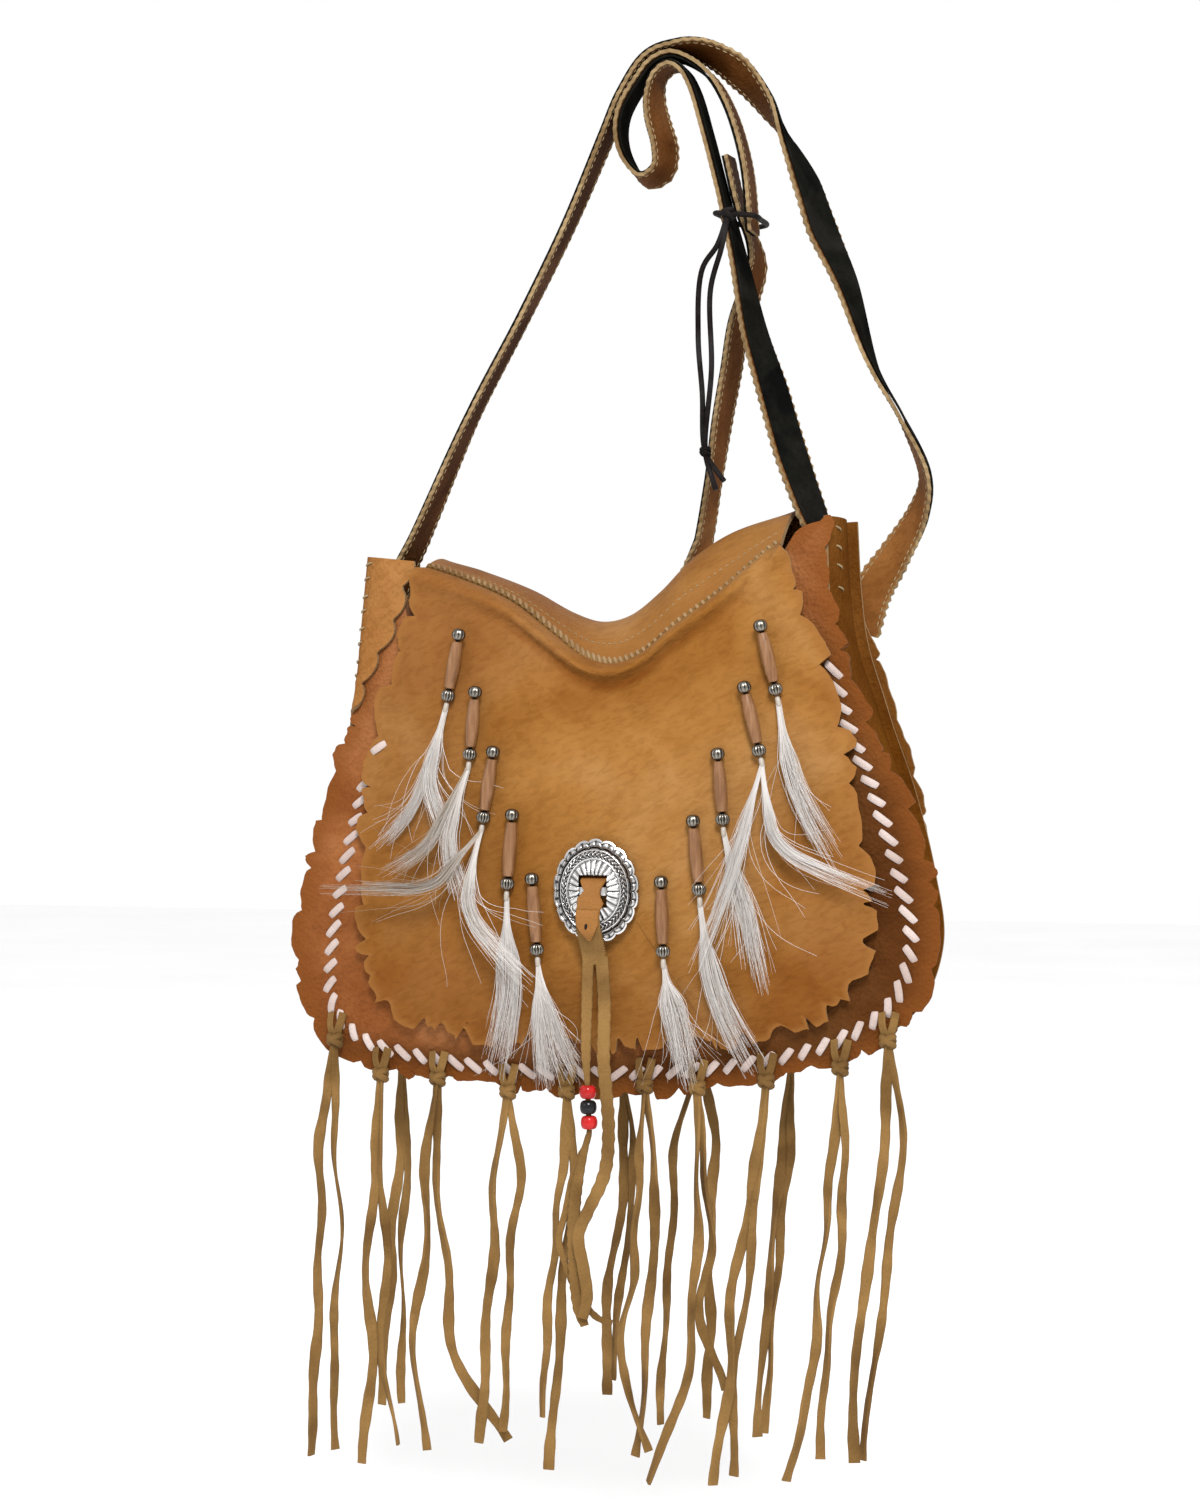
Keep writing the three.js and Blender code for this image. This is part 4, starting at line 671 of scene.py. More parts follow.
def front_y(x, z):
    share, past = share_of_seam(x, z)
    slim = mix(1, MOUTH_SLIM, smooth(z, MOUTH_LOW_Z, MOUTH_HIGH_Z))
    bulge = FRONT_BULGE * slim * (1 - np.minimum(share, 1) ** 2)
    return FRONT_SEAM_Y - bulge + LIP_SWEEP * past


def back_y(x, z):
    share, past = share_of_seam(x, z)
    bulge = BACK_BULGE * (1 - np.minimum(share, 1) ** 2)
    seam_y = mix(BACK_SEAM_Y, BACK_FOOT_Y, smooth(-z, -BACK_HIGH_Z, -BACK_LOW_Z))
    return seam_y + bulge - LIP_SWEEP * past * 0.5


WAVES = table(
    "x_length z_length start",
    (23, np.inf, 0.7), (np.inf, 31, 1.9), (13, -17, 0.4), (7.1, 9.3, 2.2), (-15, 6.2, 0),
)
WAVE_HEIGHT = 0.55
SLANT_WAVE = 0.7
QUICK_WAVE = 0.3


def soft_waves(x, z, size):
    """Gentle unevenness of soft leather, about one millimetre high for a size of one."""
    rows = columns(WAVES, "x_length", "z_length", "start")
    slow_x, slow_z, slant, quick, cross = (np.sin(x / wide + z / high + start) for wide, high, start in rows)
    return size * WAVE_HEIGHT * (slow_x * slow_z + SLANT_WAVE * slant + QUICK_WAVE * quick * cross)


# Hand-cut scallops, their size, place and lean made uneven by sines
def scallop_size(j):
    return SCALLOP_DEPTH * (1 + 0.38 * np.sin(2.4 * j) + 0.24 * np.sin(5.1 * j))


def scallop_shift(v):
    return (0.26 * np.sin(1.7 * v) + 0.1 * np.sin(4.3 * v)) * smooth(v, 0, 1)


def never(share):
    return np.zeros_like(share, bool)


def scalloped(outline, lobes, lip, bite=never, crowd=0.0, deep=1.0):
    """Edge points with and without the scallops; bite says where flats with round nicks take their place."""
    v = np.arange(lobes * LOBE_STEPS) / LOBE_STEPS
    even = (v + scallop_shift(v)) / lobes
    share = even + crowd * np.sin(TURN * even) / TURN
    lobe = np.floor(v)
    lean = 0.8 + 0.35 * np.sin(3.7 * lobe)
    rise = np.sin(np.pi * (v - lobe) ** lean) ** 0.62
    size = scallop_size(lobe) * deep
    nick = np.sin(np.pi * np.clip((v - lobe) / NICK_SHARE, 0, 1)) ** 0.7
    out = np.where(bite(share), size * (1 - nick), size * rise)
    ragged = 0.3 * np.sin(v * 9.7) + 0.25 * np.sin(v * 17.3 + 1)
    cut = np.stack(outline.moved_out(share, lip(share) + out + ragged), axis=1)
    plain = np.stack(outline.moved_out(share, lip(share) + size * 0.5), axis=1)
    return plain, cut


def top_edge(right, left, count, height):
    x = np.linspace(right, left, count)
    return np.stack([BAG_X + x, height(x)], axis=1)


SCALLOPS_FROM = 0.9


def spread(plain, cut, rest, rings, place):
    """A sheet spread from its middle to its outline, whose scallops start near the edge.

    The rings lie closer together towards the edge; the rest of the outline has no scallops.
    """
    plain = np.vstack([plain, rest])
    cut = np.vstack([cut, rest])
    centre = np.array([BAG_X, BODY_CENTRE_Z], float)
    step = np.linspace(0, 1, rings + 1)[1:]
    shares = step * (1.35 - 0.35 * step)
    flat = [centre[None]]
    for share in shares:
        edge = mix(plain, cut, smooth(share, SCALLOPS_FROM, 1))
        flat.append(centre + (edge - centre) * share)
    x, z = np.vstack(flat).T
    near = np.concatenate([[0], np.repeat(shares, len(plain))])
    return place(x, z), disc_faces(rings, len(plain)), near


# Painted shade, in patches of deeper colour: how deep, and the X and the Z where each starts and where it is
# full
PATCH_COLUMNS = "depth x_from x_full z_from z_full"
ALL = (-1001, -1000)
# Front panel: painted shade to the right and along the bottom, less at the top of the right ear.
FRONT_PAINTED_SHADE = table(PATCH_COLUMNS, (1, -20, 90, *ALL), (-0.75, -20, 90, -300, -262), (1, *ALL, -462, -482))
# Back panel: painted shade towards its left and right sides.
BACK_PAINTED_SHADE = table(PATCH_COLUMNS, (0.9, 0, -60, *ALL), (0.8, 70, 110, *ALL))
# Gusset: painted shade to the right and towards the bottom.
GUSSET_PAINTED_SHADE = table(PATCH_COLUMNS, (0.85, 0, 60, *ALL), (1, *ALL, -300, -400))
# Flap: painted shade towards its left, right and lower parts, and at the upper left below the lip.
FLAP_PAINTED_SHADE = table(
    PATCH_COLUMNS,
    (0.6, -35, -105, *ALL), (0.14, 30, 85, *ALL), (0.56, 30, 85, -310, -400), (0.6, *ALL, -400, -460),
    (0.55, 10, -40, -325, -285),
)
# Straps: painted shade to the left and higher up.
STRAP_PAINTED_SHADE = table(PATCH_COLUMNS, (1, -20, -45, *ALL), (0.8, *ALL, -225, -150))
# How strongly the rim colour shows; on the panels and flap it is partly painted shade.
EDGE_DEPTH = 0.8


def painted_shade_depth(rows, x, z):
    depth = np.zeros(len(x))
    for patch_depth, x_from, x_full, z_from, z_full in columns(rows, *PATCH_COLUMNS.split()):
        depth += patch_depth * smooth(x, x_from, x_full) * smooth(z, z_from, z_full)
    return depth


def unshaded(x, z):
    return np.zeros_like(x)


def sheet_piece(name, node, sheet, thickness, materials, slot, painted_shade, edge_from=0.9, shade=unshaded):
    """A leather piece in place of a solid, with painted shade in patches and in the creases of its folds, and
    a rim colour that is partly painted shade.
    """
    points, faces, near = sheet
    shift = vertex_normals(points, faces) * thickness / 2
    both, made, marks = body_between(points + shift, points - shift, faces)
    x, _, z = both.T
    border = smooth(near, edge_from, 1.0) * EDGE_DEPTH
    depth = np.clip(painted_shade_depth(painted_shade, x, z) + shade(x, z), 0, 1)
    values = {"edge": np.concatenate([border, border]), "painted_shade": depth}
    return make_piece(name, both, made, materials, slot, node, marks, values)


# Front panel
FRONT_RIGHT_X = 99
FRONT_LEFT_X = -104
FRONT_TOP_POINTS = 90
FRONT_RINGS = 44
FRONT_WAVES = 0.4
CURL_FINENESS = 1.7
CURL_WAVES = 1.2
CURL_START = (2, 10)
lip_out = reader(LIP, "at", "lip")


def front_place(x, z):
    _, past = share_of_seam(x, z)
    curl = soft_waves(x * CURL_FINENESS, z * CURL_FINENESS, CURL_WAVES) * smooth(past, *CURL_START)
    return xyz(x, front_y(x, z) + soft_waves(x, z, FRONT_WAVES) + curl, z)


def mouth_edge(x):
    """Height of the front panel's top edge, which rises to the right ear."""
    level = np.minimum(seam_z(x) - MOUTH_DROP, MOUTH_EDGE_Z)
    return np.where(x > MOUTH_RISE["x"][0], mouth_rise(x), level)


front_top = top_edge(FRONT_RIGHT_X, FRONT_LEFT_X, FRONT_TOP_POINTS, mouth_edge)
front_sheet = spread(*scalloped(seam, FRONT_LOBES, lip_out), front_top, FRONT_RINGS, front_place)
sheet_piece("front_panel_leather", "front_panel", front_sheet, LEATHER, [RUSSET, RAW_RUSSET, RAW_RUSSET],
            "russet_leather", FRONT_PAINTED_SHADE)

# Back panel with the strip over the crest
STRIP_LENGTH = 56
CREST_SET_BACK = 9
STRIP_SEAM_Y = -42
STRIP_BEND_Y = -22
STRIP_RIGHT_X = 80
STRIP_LEFT_X = -94
STRIP_SIDE_POINTS = 40
STRIP_RIGHT = table("x rise", (100, -2), (84, 6), (81, 30), (80.1, 55))
STRIP_LEFT = table("x rise", (-94.1, 55), (-95, 30), (-97, 6), (-104, -2))
BACK_TOP_POINTS = 130
BACK_RINGS = 60
BACK_WAVES = 0.5
BACK_SCALLOPS = 0.5
back_lip_out = reader(BACK_LIP, "at", "lip")


def crest_foot(x):
    return crest_z(x) - CREST_SET_BACK


def strip_point(x, share):
    """Where a share of the strip lies, from the back wall over the crest to the pinked seam."""
    crest = crest_z(x - BAG_X)
    foot = crest - CREST_SET_BACK
    wall = back_y(x, foot)
    rest = 1 - share
    weights = (rest ** 3, 3 * rest * rest * share, 3 * rest * share * share, share ** 3)
    y = sum(weight * by for weight, by in zip(weights, (wall, wall, STRIP_BEND_Y, STRIP_SEAM_Y)))
    z = sum(weight * by for weight, by in zip(weights, (foot, crest + 6, crest + 3, seam_z(x - BAG_X))))
    return xyz(x, y, z)


def back_place(x, z):
    rise = z - crest_foot(x - BAG_X)
    wall = xyz(x, back_y(x, z) + soft_waves(x, z, BACK_WAVES), z)
    strip = strip_point(x, np.maximum(rise, 0) / STRIP_LENGTH)
    return np.where((rise <= 0)[:, None], wall, strip)


def strip_side(corners):
    """The strip's side through a few corners, in even steps; rise is counted from the foot of the crest."""
    shares = np.linspace(0, 1, STRIP_SIDE_POINTS)
    height = crest_foot(corners["x"]) + corners["rise"]
    return np.stack([column_along(corners["x"] + BAG_X, shares), column_along(height, shares)], axis=1)


def strip_end(x):
    return crest_foot(x) + STRIP_LENGTH


back_top = top_edge(STRIP_RIGHT_X, STRIP_LEFT_X, BACK_TOP_POINTS, strip_end)
back_rest = np.vstack([strip_side(STRIP_RIGHT), back_top, strip_side(STRIP_LEFT)])
back_sheet = spread(*scalloped(seam, BACK_LOBES, back_lip_out, deep=BACK_SCALLOPS), back_rest,
                    BACK_RINGS, back_place)
sheet_piece("back_panel_leather", "back_panel", back_sheet, LEATHER, [OLIVE, RAW_TAN, TAN],
            "russet_leather", BACK_PAINTED_SHADE)

# Gusset
GUSSET_BULGE = 5
BACK_ALLOWANCE = 8
EAR_EASE = 0.6
GUSSET_SECTIONS = 420
EAR_LOBE = 16
EAR_DEPTH = 5
EAR_END = 0.104
EAR_FADE = 0.02
EAR_LOBE_START = 0.6
LEAST_ALLOWANCE = 1.5
WEB_WAYS = (0.3, 0.7)
WALL_GAP = (LEATHER + GUSSET_LEATHER) / 2 + 2 * GAP
ALLOWANCE = table(
    "at corner turn wide back",
    (0, 20, 180, 27, 7), (0.045, 19.5, 180, 20, 4), (0.07, 18.5, 178, 11, 2), (0.085, 18, 178, 7, 1),
    (0.098, 17.7, 175, 4.5, 0), (0.104, 17, 90, 2.5, 0), (0.11, 16.2, 0, 2, 0), (0.116, 15.4, 0, 2, 0),
    (0.14, 5, 0, 4, 0), (0.17, 0, 0, 8, 0),
    (0.65, 0, 0, 7, 0), (0.82, 0, 0, 7, 5), (0.88, 0, 0, 4, 6), (0.93, 0, 0, 2, 2), (1, 0, 0, 2, 0),
)
corner_out = reader(ALLOWANCE, "at", "corner")
allowance_turn = reader(ALLOWANCE, "at", "turn")
allowance_wide = reader(ALLOWANCE, "at", "wide")
back_corner = reader(ALLOWANCE, "at", "back")


def gusset_lines(shares):
    """The gusset's six lengthwise lines: front tip, front corner, two of the web, back corner, back tip."""
    turn = np.radians(allowance_turn(shares))
    lobe = np.abs(np.sin(np.pi * shares * seam.length / EAR_LOBE + EAR_LOBE_START)) ** 0.6
    on_ear = 1 - smooth(shares, EAR_END - EAR_FADE, EAR_END)
    wide = np.maximum(allowance_wide(shares) + EAR_DEPTH * (lobe - 0.9) * on_ear, LEAST_ALLOWANCE)
    standoff = (WALL_GAP + EAR_EASE * np.sin(turn / 2) ** 2) * np.cos(turn)
    corner = corner_out(shares)
    inner = back_corner(shares)
    front_x, front_z = seam.moved_out(shares, corner)
    tip_x, tip_z = seam.moved_out(shares, corner + wide * np.cos(turn))
    back_x, back_z = seam.moved_out(shares, inner)
    end_x, end_z = seam.moved_out(shares, inner * 0.7 + BACK_ALLOWANCE)
    front = front_y(front_x, front_z) + standoff
    back = back_y(back_x, back_z) - WALL_GAP
    tip = front_y(tip_x, tip_z) + standoff - wide * np.sin(turn)
    lines = [xyz(tip_x, tip, tip_z), xyz(front_x, front, front_z)]
    for way in WEB_WAYS:
        x, z = seam.moved_out(shares, mix(corner, inner, way) + GUSSET_BULGE)
        lines.append(xyz(x, mix(front, back, way), z))
    lines.append(xyz(back_x, back, back_z))
    lines.append(xyz(end_x, back_y(end_x, end_z) - WALL_GAP, end_z))
    return np.stack(lines, axis=1)


def corners_cut(lines):
    """Lengthwise lines with their corners softened."""
    first = lines[:, :-1] * 0.75 + lines[:, 1:] * 0.25
    second = lines[:, :-1] * 0.25 + lines[:, 1:] * 0.75
    between = np.stack([first, second], axis=2).reshape(len(lines), -1, 3)
    return np.concatenate([lines[:, :1], between[:, 1:-1], lines[:, -1:]], axis=1)


gusset_rows = corners_cut(corners_cut(gusset_lines(np.linspace(0, 1, GUSSET_SECTIONS))))
gusset_points = gusset_rows.reshape(-1, 3)
gusset_faces = grid_faces(GUSSET_SECTIONS, gusset_rows.shape[1])
sheet_piece("gusset_leather", "gusset", (gusset_points, gusset_faces, np.zeros(len(gusset_points))),
            GUSSET_LEATHER, [OLIVE, RAW_TAN, RAW_TAN], "olive_leather", GUSSET_PAINTED_SHADE)

# Flap with a rolled lip under the pinked seam
FLAP_STANDOFF = 5.2
FLAP_LOBES = 40
FLAP_CROWD = 0.3
FLAP_SCALLOPS = 1.45
FLAP_INSET = 1
FLAP_TOP_POINTS = 120
FLAP_RINGS = 64
FLAP_EDGE_FROM = 0.965
ROLL_ALLOWANCE = 6
FLAP_SEAM_Y = STRIP_SEAM_Y - 3
BITES_FROM = 0.3
BITES_TO = 0.74
ROLL = table(
    "along forward drop",
    (0, 0, 0), (5, 4.5, 0.4), (10, 8.4, 3.2), (15, 9.6, 7.6), (22, 7.6, 15), (32, 6, 26), (300, 6, 294),
)
FLAP = table(
    "x z",
    (-93, -243), (-95, -262), (-102.5, -283), (-110.5, -309), (-118, -345), (-121, -390), (-119, -428),
    (-106, -453), (-70, -463), (2, -466), (70, -461), (104, -449), (119, -430), (121, -395),
    (116, -352), (106, -310), (96, -279), (87, -254), (81, -234),
)
LIP_FOLDS = {"crease": (3.8, 17.5, 3.6), "bulge": (1.3, 10.5, 2.5), "lift": (1.6, 15.5, 3)}
FLAP_SETTLES = (14, 46)
FLAP_WAVES = 0.3
EDGE_START = (0.8, 1)
EDGE_FINENESS = 2
EDGE_WAVES = 0.8
DIP_LEAST = 0.35
DIP_MIDDLE = 5
DIP_HALF_WIDTH = 48
LIP_SHADE_BELOW = 10
LIP_SHADE_WIDTH = 2.6
PUCKER_DEPTH = 0.6
PUCKERS_START = (8, 22)
PUCKERS_END = (30, 80)
roll_forward = reader(ROLL, "along", "forward")
roll_drop = reader(ROLL, "along", "drop")


def flap_place(x, z):
    top = seam_z(x - BAG_X)
    along = np.maximum(top + ROLL_ALLOWANCE - z, 0)
    height = top - roll_drop(along)
    rolled = FLAP_SEAM_Y - roll_forward(along)
    settled = front_y(x, height) - FLAP_STANDOFF
    return xyz(x, mix(rolled, settled, smooth(along, *FLAP_SETTLES)), height)


def flap_face(x, z):
    """The flap's outer face, where the ornaments lie."""
    return flap_place(np.atleast_1d(x), np.atleast_1d(z))[:, 1] - LEATHER / 2


def in_dip(x):
    """How fully the lip is rolled: most in the dip, less towards the ears."""
    return mix(DIP_LEAST, 1, bell(x - BAG_X, DIP_MIDDLE, DIP_HALF_WIDTH))


def lip_fold(name, along):
    """One fold of the lip, from its depth, its place along the flap and its width."""
    depth, middle, width = LIP_FOLDS[name]
    return depth * bell(along, middle, width)


def flap_soft(x, z):
    """The flap with its lip creased below, and the puckers and soft waves of its leather."""
    made = flap_place(x, z)
    below = seam_z(x - BAG_X) - z
    along = below + ROLL_ALLOWANCE
    pucker = smooth(below, *PUCKERS_START) * (1 - smooth(below, *PUCKERS_END))
    folds = np.sin((x + 0.35 * z) / 5.3) * np.sin(x / 17 + 1.1)
    edge = smooth(share_of_seam(x, z)[0], *EDGE_START)
    lip = lip_fold("crease", along) - lip_fold("bulge", along)
    made[:, 1] += pucker * PUCKER_DEPTH * folds + lip * in_dip(x)
    made[:, 1] += soft_waves(x, z, FLAP_WAVES)
    made[:, 1] += soft_waves(x * EDGE_FINENESS, z * EDGE_FINENESS, EDGE_WAVES) * edge
    made[:, 2] += lip_fold("lift", along) * in_dip(x)
    return made


def flap_bites(share):
    return (share > BITES_FROM) & (share < BITES_TO)


def flap_lip(share):
    return np.full_like(share, -FLAP_INSET)


def flap_top_edge(x):
    return seam_z(x) + ROLL_ALLOWANCE


def lip_shade(x, z):
    """The dark line in the crease below the lip."""
    return bell(seam_z(x - BAG_X) - z, LIP_SHADE_BELOW, LIP_SHADE_WIDTH) * in_dip(x)


def surface_area(points, faces):
    total = 0.0
    for face in faces:
        sides = points[list(face[1:])] - points[face[0]]
        total += np.linalg.norm(np.cross(sides[:-1], sides[1:]), axis=1).sum() / 2
    return total


flap_plain, flap_cut = scalloped(Outline(FLAP), FLAP_LOBES, flap_lip, flap_bites, FLAP_CROWD, FLAP_SCALLOPS)
flap_top = top_edge(STRIP_RIGHT_X - 1, STRIP_LEFT_X + 3, FLAP_TOP_POINTS, flap_top_edge)
flap_sheet = spread(flap_plain, flap_cut, flap_top, FLAP_RINGS, flap_soft)
flap_piece = sheet_piece("flap_leather", "flap", flap_sheet, LEATHER, [TAN, RAW_TAN, RAW_RUSSET],
                         "tan_leather", FLAP_PAINTED_SHADE, FLAP_EDGE_FROM, lip_shade)
surface_area(flap_sheet[0], flap_sheet[1]) * MM * MM

# Straps of leather with a black lining, their edges pinked and stitched
STRAP_WIDTH = 19
STRAP_LEATHER = 1.7
STRAP_LINING = 1.2
LINING_INSET = 1.5
LINING_STEP = 3
PINK_PITCH = 4.4
PINK_DEPTH = 1.1
STITCH_PITCH = 3.6
STITCH_SHARE = 0.68
STITCH_INSET = 2.2
STITCH_LIFT = 0.3
STITCH_THICK = 0.32
STITCH_STEPS = 5
STITCH_SIDES = 6
STITCH_SUNK = 0.25
STITCH_FLAT = 0.7
STRAP_BORDER = table(
    "side edge",
    (-1, 1), (-0.92, 0.75), (-0.84, 0.05), (-0.3, 0), (0.3, 0), (0.84, 0.05), (0.92, 0.75), (1, 1),
)
STRAP_LEFT = table(
    "x y z turn",
    (-135.4, -22, -268, -16), (-132, -22, -250, -16), (-121.5, -21, -228, -8), (-95.5, -17, -169, 4),
    (-72, -12, -123, 6), (-50, -8, -78, 4), (-32.5, -4, -36, 0), (-23.6, -2, -14.5, 0), (-11.3, 0, 3.2, 0),
    (2, 0, 7.1, -4), (16, 0, 4.5, -26), (33, 0, -6.5, -46), (48, 0, -25, -26), (58, -2, -43, 6),
    (67, -4, -62, 30), (75.5, -5, -86, 38), (86.5, -6, -111, 24), (99.5, -5, -152, -2),
    (112.5, -3, -176, -6), (123, 2, -204, -20), (119, 6, -220, -40), (107, 8.5, -240, -62),
    (97, 6.8, -256, -88), (91, 5.1, -276, -90),
)
STRAP_RIGHT = table(
    "x y z turn",
    (85.3, -22, -256, -11), (81.5, -22, -240, -16), (73.5, -22, -220, -34), (63.5, -20, -193, -42),
    (53.5, -17, -161, -38), (44.5, -14, -134, -26), (36.5, -11, -101, -10), (28, -8, -69, 0),
    (19, -4, -37, 0), (11, 0, -13, 0), (6, 0, -4.5, 0), (0, 0, -1.5, 0), (-7, 0, -6.5, 4), (-9, 0, -16, 14),
    (-7, -2, -28, 24), (-3, -4, -42, 26), (-4, -5, -53, 18), (-12, -5, -57, 8), (-20, -5, -48, 0),
    (-24, -4, -36, 0), (-23, -3, -24, 0), (-15, 0, -8.5, 0), (-8, 0, -0.5, 0), (1, 0, 2.5, 0),
    (11, 0, -1.5, 0), (21, -2, -10.5, 0), (29, -4, -24, 0), (35.5, -6, -42, 0), (39.5, -8, -60, 0),
    (41.5, -8, -86, 0),
)
STRAP_BACK = table(
    "x y z turn",
    (28.5, -3, -48, 0), (33.5, -1, -71, 0), (37.3, 8.4, -86, 0), (38.4, 13.5, -98, 12), (34.5, 13, -112, 18),
    (29.5, 13, -126, 14), (26, 13, -147, 14), (21, 14, -173, 12), (17, 14, -200, 6), (12, 14, -230, 8),
    (7, 13, -252, 45), (5, 8.4, -270, 84), (4, 7.9, -296, 90),
)


def stitch(parts, start, end, lift, thick, mark=0):
    """One thread between two points of a surface, its ends sunk and its middle lifted."""
    shares = np.linspace(0, 1, STITCH_STEPS)
    arch = np.sin(np.pi * shares)
    at = start + np.outer(shares, end - start) + np.outer(arch * 0.9 - STITCH_SUNK, lift)
    face = np.tile(unit(lift), (len(at), 1))
    across = np.cross(unit(end - start), face)
    size = thick * (0.55 + 0.45 * arch)
    parts.add(*round_body(at, across, face, size, STITCH_SIDES, flat=STITCH_FLAT), mark)


def strap_line(rows, step):
    """Points, width and face directions along a strap in steps of about the given length."""
    route = columns(rows, "x", "y", "z")
    _, length = even_shares(route, 2)
    shares, _ = even_shares(route, 2 * int(length / step / 2) + 1)
    at, direction = curve_at(route, shares)
    return at, *ribbon_frame(direction, np.radians(column_along(rows["turn"], shares)))


def strap_leather(rows, shift):
    """The strap's leather with pinked edges, the marks of its rim and how near its points lie to the edge."""
    at, across, face = strap_line(rows, PINK_PITCH / 2)
    tooth = np.where(np.arange(len(at)) % 2 == 0, -0.5, 0.5) * PINK_DEPTH
    sides = np.concatenate([STRAP_BORDER["side"], STRAP_BORDER["side"][::-1]])
    wide = np.outer(STRAP_WIDTH / 2 + tooth, sides)
    high = np.repeat([STRAP_LEATHER / 2, -STRAP_LEATHER / 2], len(sides) // 2)
    points, faces = tube(rings_about(at + face * shift, across, face, wide, high))
    rim = {len(sides) // 2 - 1, len(sides) - 1}
    marks = [1 if k % len(sides) in rim else 0 for k in range(len(faces) - 2)] + [1, 1]
    border = np.concatenate([STRAP_BORDER["edge"], STRAP_BORDER["edge"][::-1]])
    return points, faces, marks, np.tile(border, len(at))


def strap_pieces(name, rows, leather_side):
    leather_shift = leather_side * (STRAP_LINING + GAP) / 2
    lining_shift = -leather_side * (STRAP_LEATHER + GAP) / 2
    points, faces, marks, border = strap_leather(rows, leather_shift)
    # Painted shade on the straps, deeper to the left and higher up.
    painted_shade = painted_shade_depth(STRAP_PAINTED_SHADE, points[:, 0], points[:, 2])
    values = {"edge": border, "painted_shade": np.clip(painted_shade, 0, 1)}
    make_piece(f"{name}_leather", points, faces, [STRAP, PALE_EDGE], "strap_leather", name, marks, values, 30)
    at, across, face = strap_line(rows, LINING_STEP)
    lining = ribbon(at + face * lining_shift, across, face, STRAP_WIDTH / 2 - LINING_INSET, STRAP_LINING)
    make_piece(f"{name}_black", *lining, [BLACK], "black_lining", f"{name}_lining")
    stitches = Parts()
    at, across, face = strap_line(rows, STITCH_PITCH)
    top = at + face * (leather_shift + leather_side * STRAP_LEATHER / 2)
    for side in (-1, 1):
        line = top + across * side * (STRAP_WIDTH / 2 - STITCH_INSET)
        for i in range(2, len(line) - 2):
            end = mix(line[i], line[i + 1], STITCH_SHARE)
            stitch(stitches, line[i], end, leather_side * face[i] * STITCH_LIFT, STITCH_THICK)
    stitches.piece(f"{name}_stitches", [THREAD], "strap_leather")


strap_pieces("strap_left", STRAP_LEFT, 1)
strap_pieces("strap_right", STRAP_RIGHT, -1)
strap_pieces("strap_back", STRAP_BACK, -1)

# Lacing bars along the front and back seams, leaning the other way past the middle
LACING_STEP = 8.8
LACING_FROM = 0.148
LACING_TO = 0.903
LACING_STRAY = 0.122
LACING_STRAY_INSET = 3.5
LACING_MIDDLE = 0.5
BACK_LACING_FROM = 0.04
BACK_LACING_TO = 0.96
BAR_ALONG = 3.5
BAR_ACROSS = 2.7
BAR_HALF_WIDTH = 1.75
BAR_THICKNESS = 1.1
BAR_ARCH = 1.1
BAR_SINK = 0.5
BAR_SWAY = 0.16
BAR_SWAYS = 391
BAR_STEPS = 9
BAR_WAIST = 0.85
BAR_CORNER = 0.3


def lacing_bar(parts, share, wall, way, inset=0.0):
    lean = 1 if share < LACING_MIDDLE else -1
    steps = np.linspace(-1, 1, BAR_STEPS)
    sway = BAR_SWAY * math.sin(share * BAR_SWAYS)
    along = share + lean * steps * BAR_ALONG * (1 + sway) / seam.length
    x, z = seam.moved_out(along, steps * BAR_ACROSS - inset)
    arch = 1 - steps ** 4
    at = xyz(x, wall(x, z) + way * (LEATHER / 2 - BAR_SINK + BAR_ARCH * arch), z)
    direction = unit(np.gradient(at, axis=0))
    face = unit(np.array([0, way, 0.0]) - direction * direction[:, 1:2] * way)
    half = BAR_HALF_WIDTH * mix(BAR_WAIST, 1, arch)
    parts.add(*ribbon(at, np.cross(direction, face), face, half, BAR_THICKNESS, BAR_CORNER))


def lacing_row(first, last, wall, way):
    parts = Parts()
    count = int((last - first) * seam.length / LACING_STEP)
    for share in np.linspace(first, last, count):
        lacing_bar(parts, share, wall, way)
    return parts


def front_soft_y(x, z):
    return front_place(x, z)[:, 1]


def flap_soft_y(x, z):
    return flap_soft(x, z)[:, 1]


front_bars = lacing_row(LACING_FROM, LACING_TO, front_soft_y, -1)
lacing_bar(front_bars, LACING_STRAY, flap_soft_y, -1, LACING_STRAY_INSET)
back_bars = lacing_row(BACK_LACING_FROM, BACK_LACING_TO, back_y, 1)
for row_name, row_bars in (("lacing_front", front_bars), ("lacing_back", back_bars)):
    row_bars.piece(row_name, [LACE], "suede", sharp=50)

# Pinked seam between the strip and the flap, its braid of stitches and a fine row beside it
SEAM_BAND = 4.2
BAND_SHARE = 0.985
BAND_THICKNESS = 1.6
BAND_LIFT = 1.1
BAND_REACH = 1.2
BAND_TOOTH = 0.48
BRAID_LIFT = 2
BRAID_REACH = 3.2
BRAID_LEAN = 1.4
BRAID_RISE = 0.5
BRAID_THICK = 0.95
ROW_SHARE = 0.86
ROW_STITCH = 0.6
ROW_RISE = 0.4
ROW_THICK = 0.3
SHARE_STEP = 0.04
SEAM_POINTS = 121
seam_x = BAG_X + np.linspace(STRIP_LEFT_X + 1, STRIP_RIGHT_X - 1, SEAM_POINTS)


def strip_surface(share):
    """Places on the strip's outer face with the directions towards the flap and outward."""
    shares = np.full(len(seam_x), share)
    at = strip_point(seam_x, shares)
    forward = unit(at - strip_point(seam_x, shares - SHARE_STEP))
    along = unit(np.gradient(at, axis=0))
    out = np.cross(along, forward)
    out = np.where(out[:, 2:3] < 0, -out, out)
    return at + out * (LEATHER / 2), forward, out


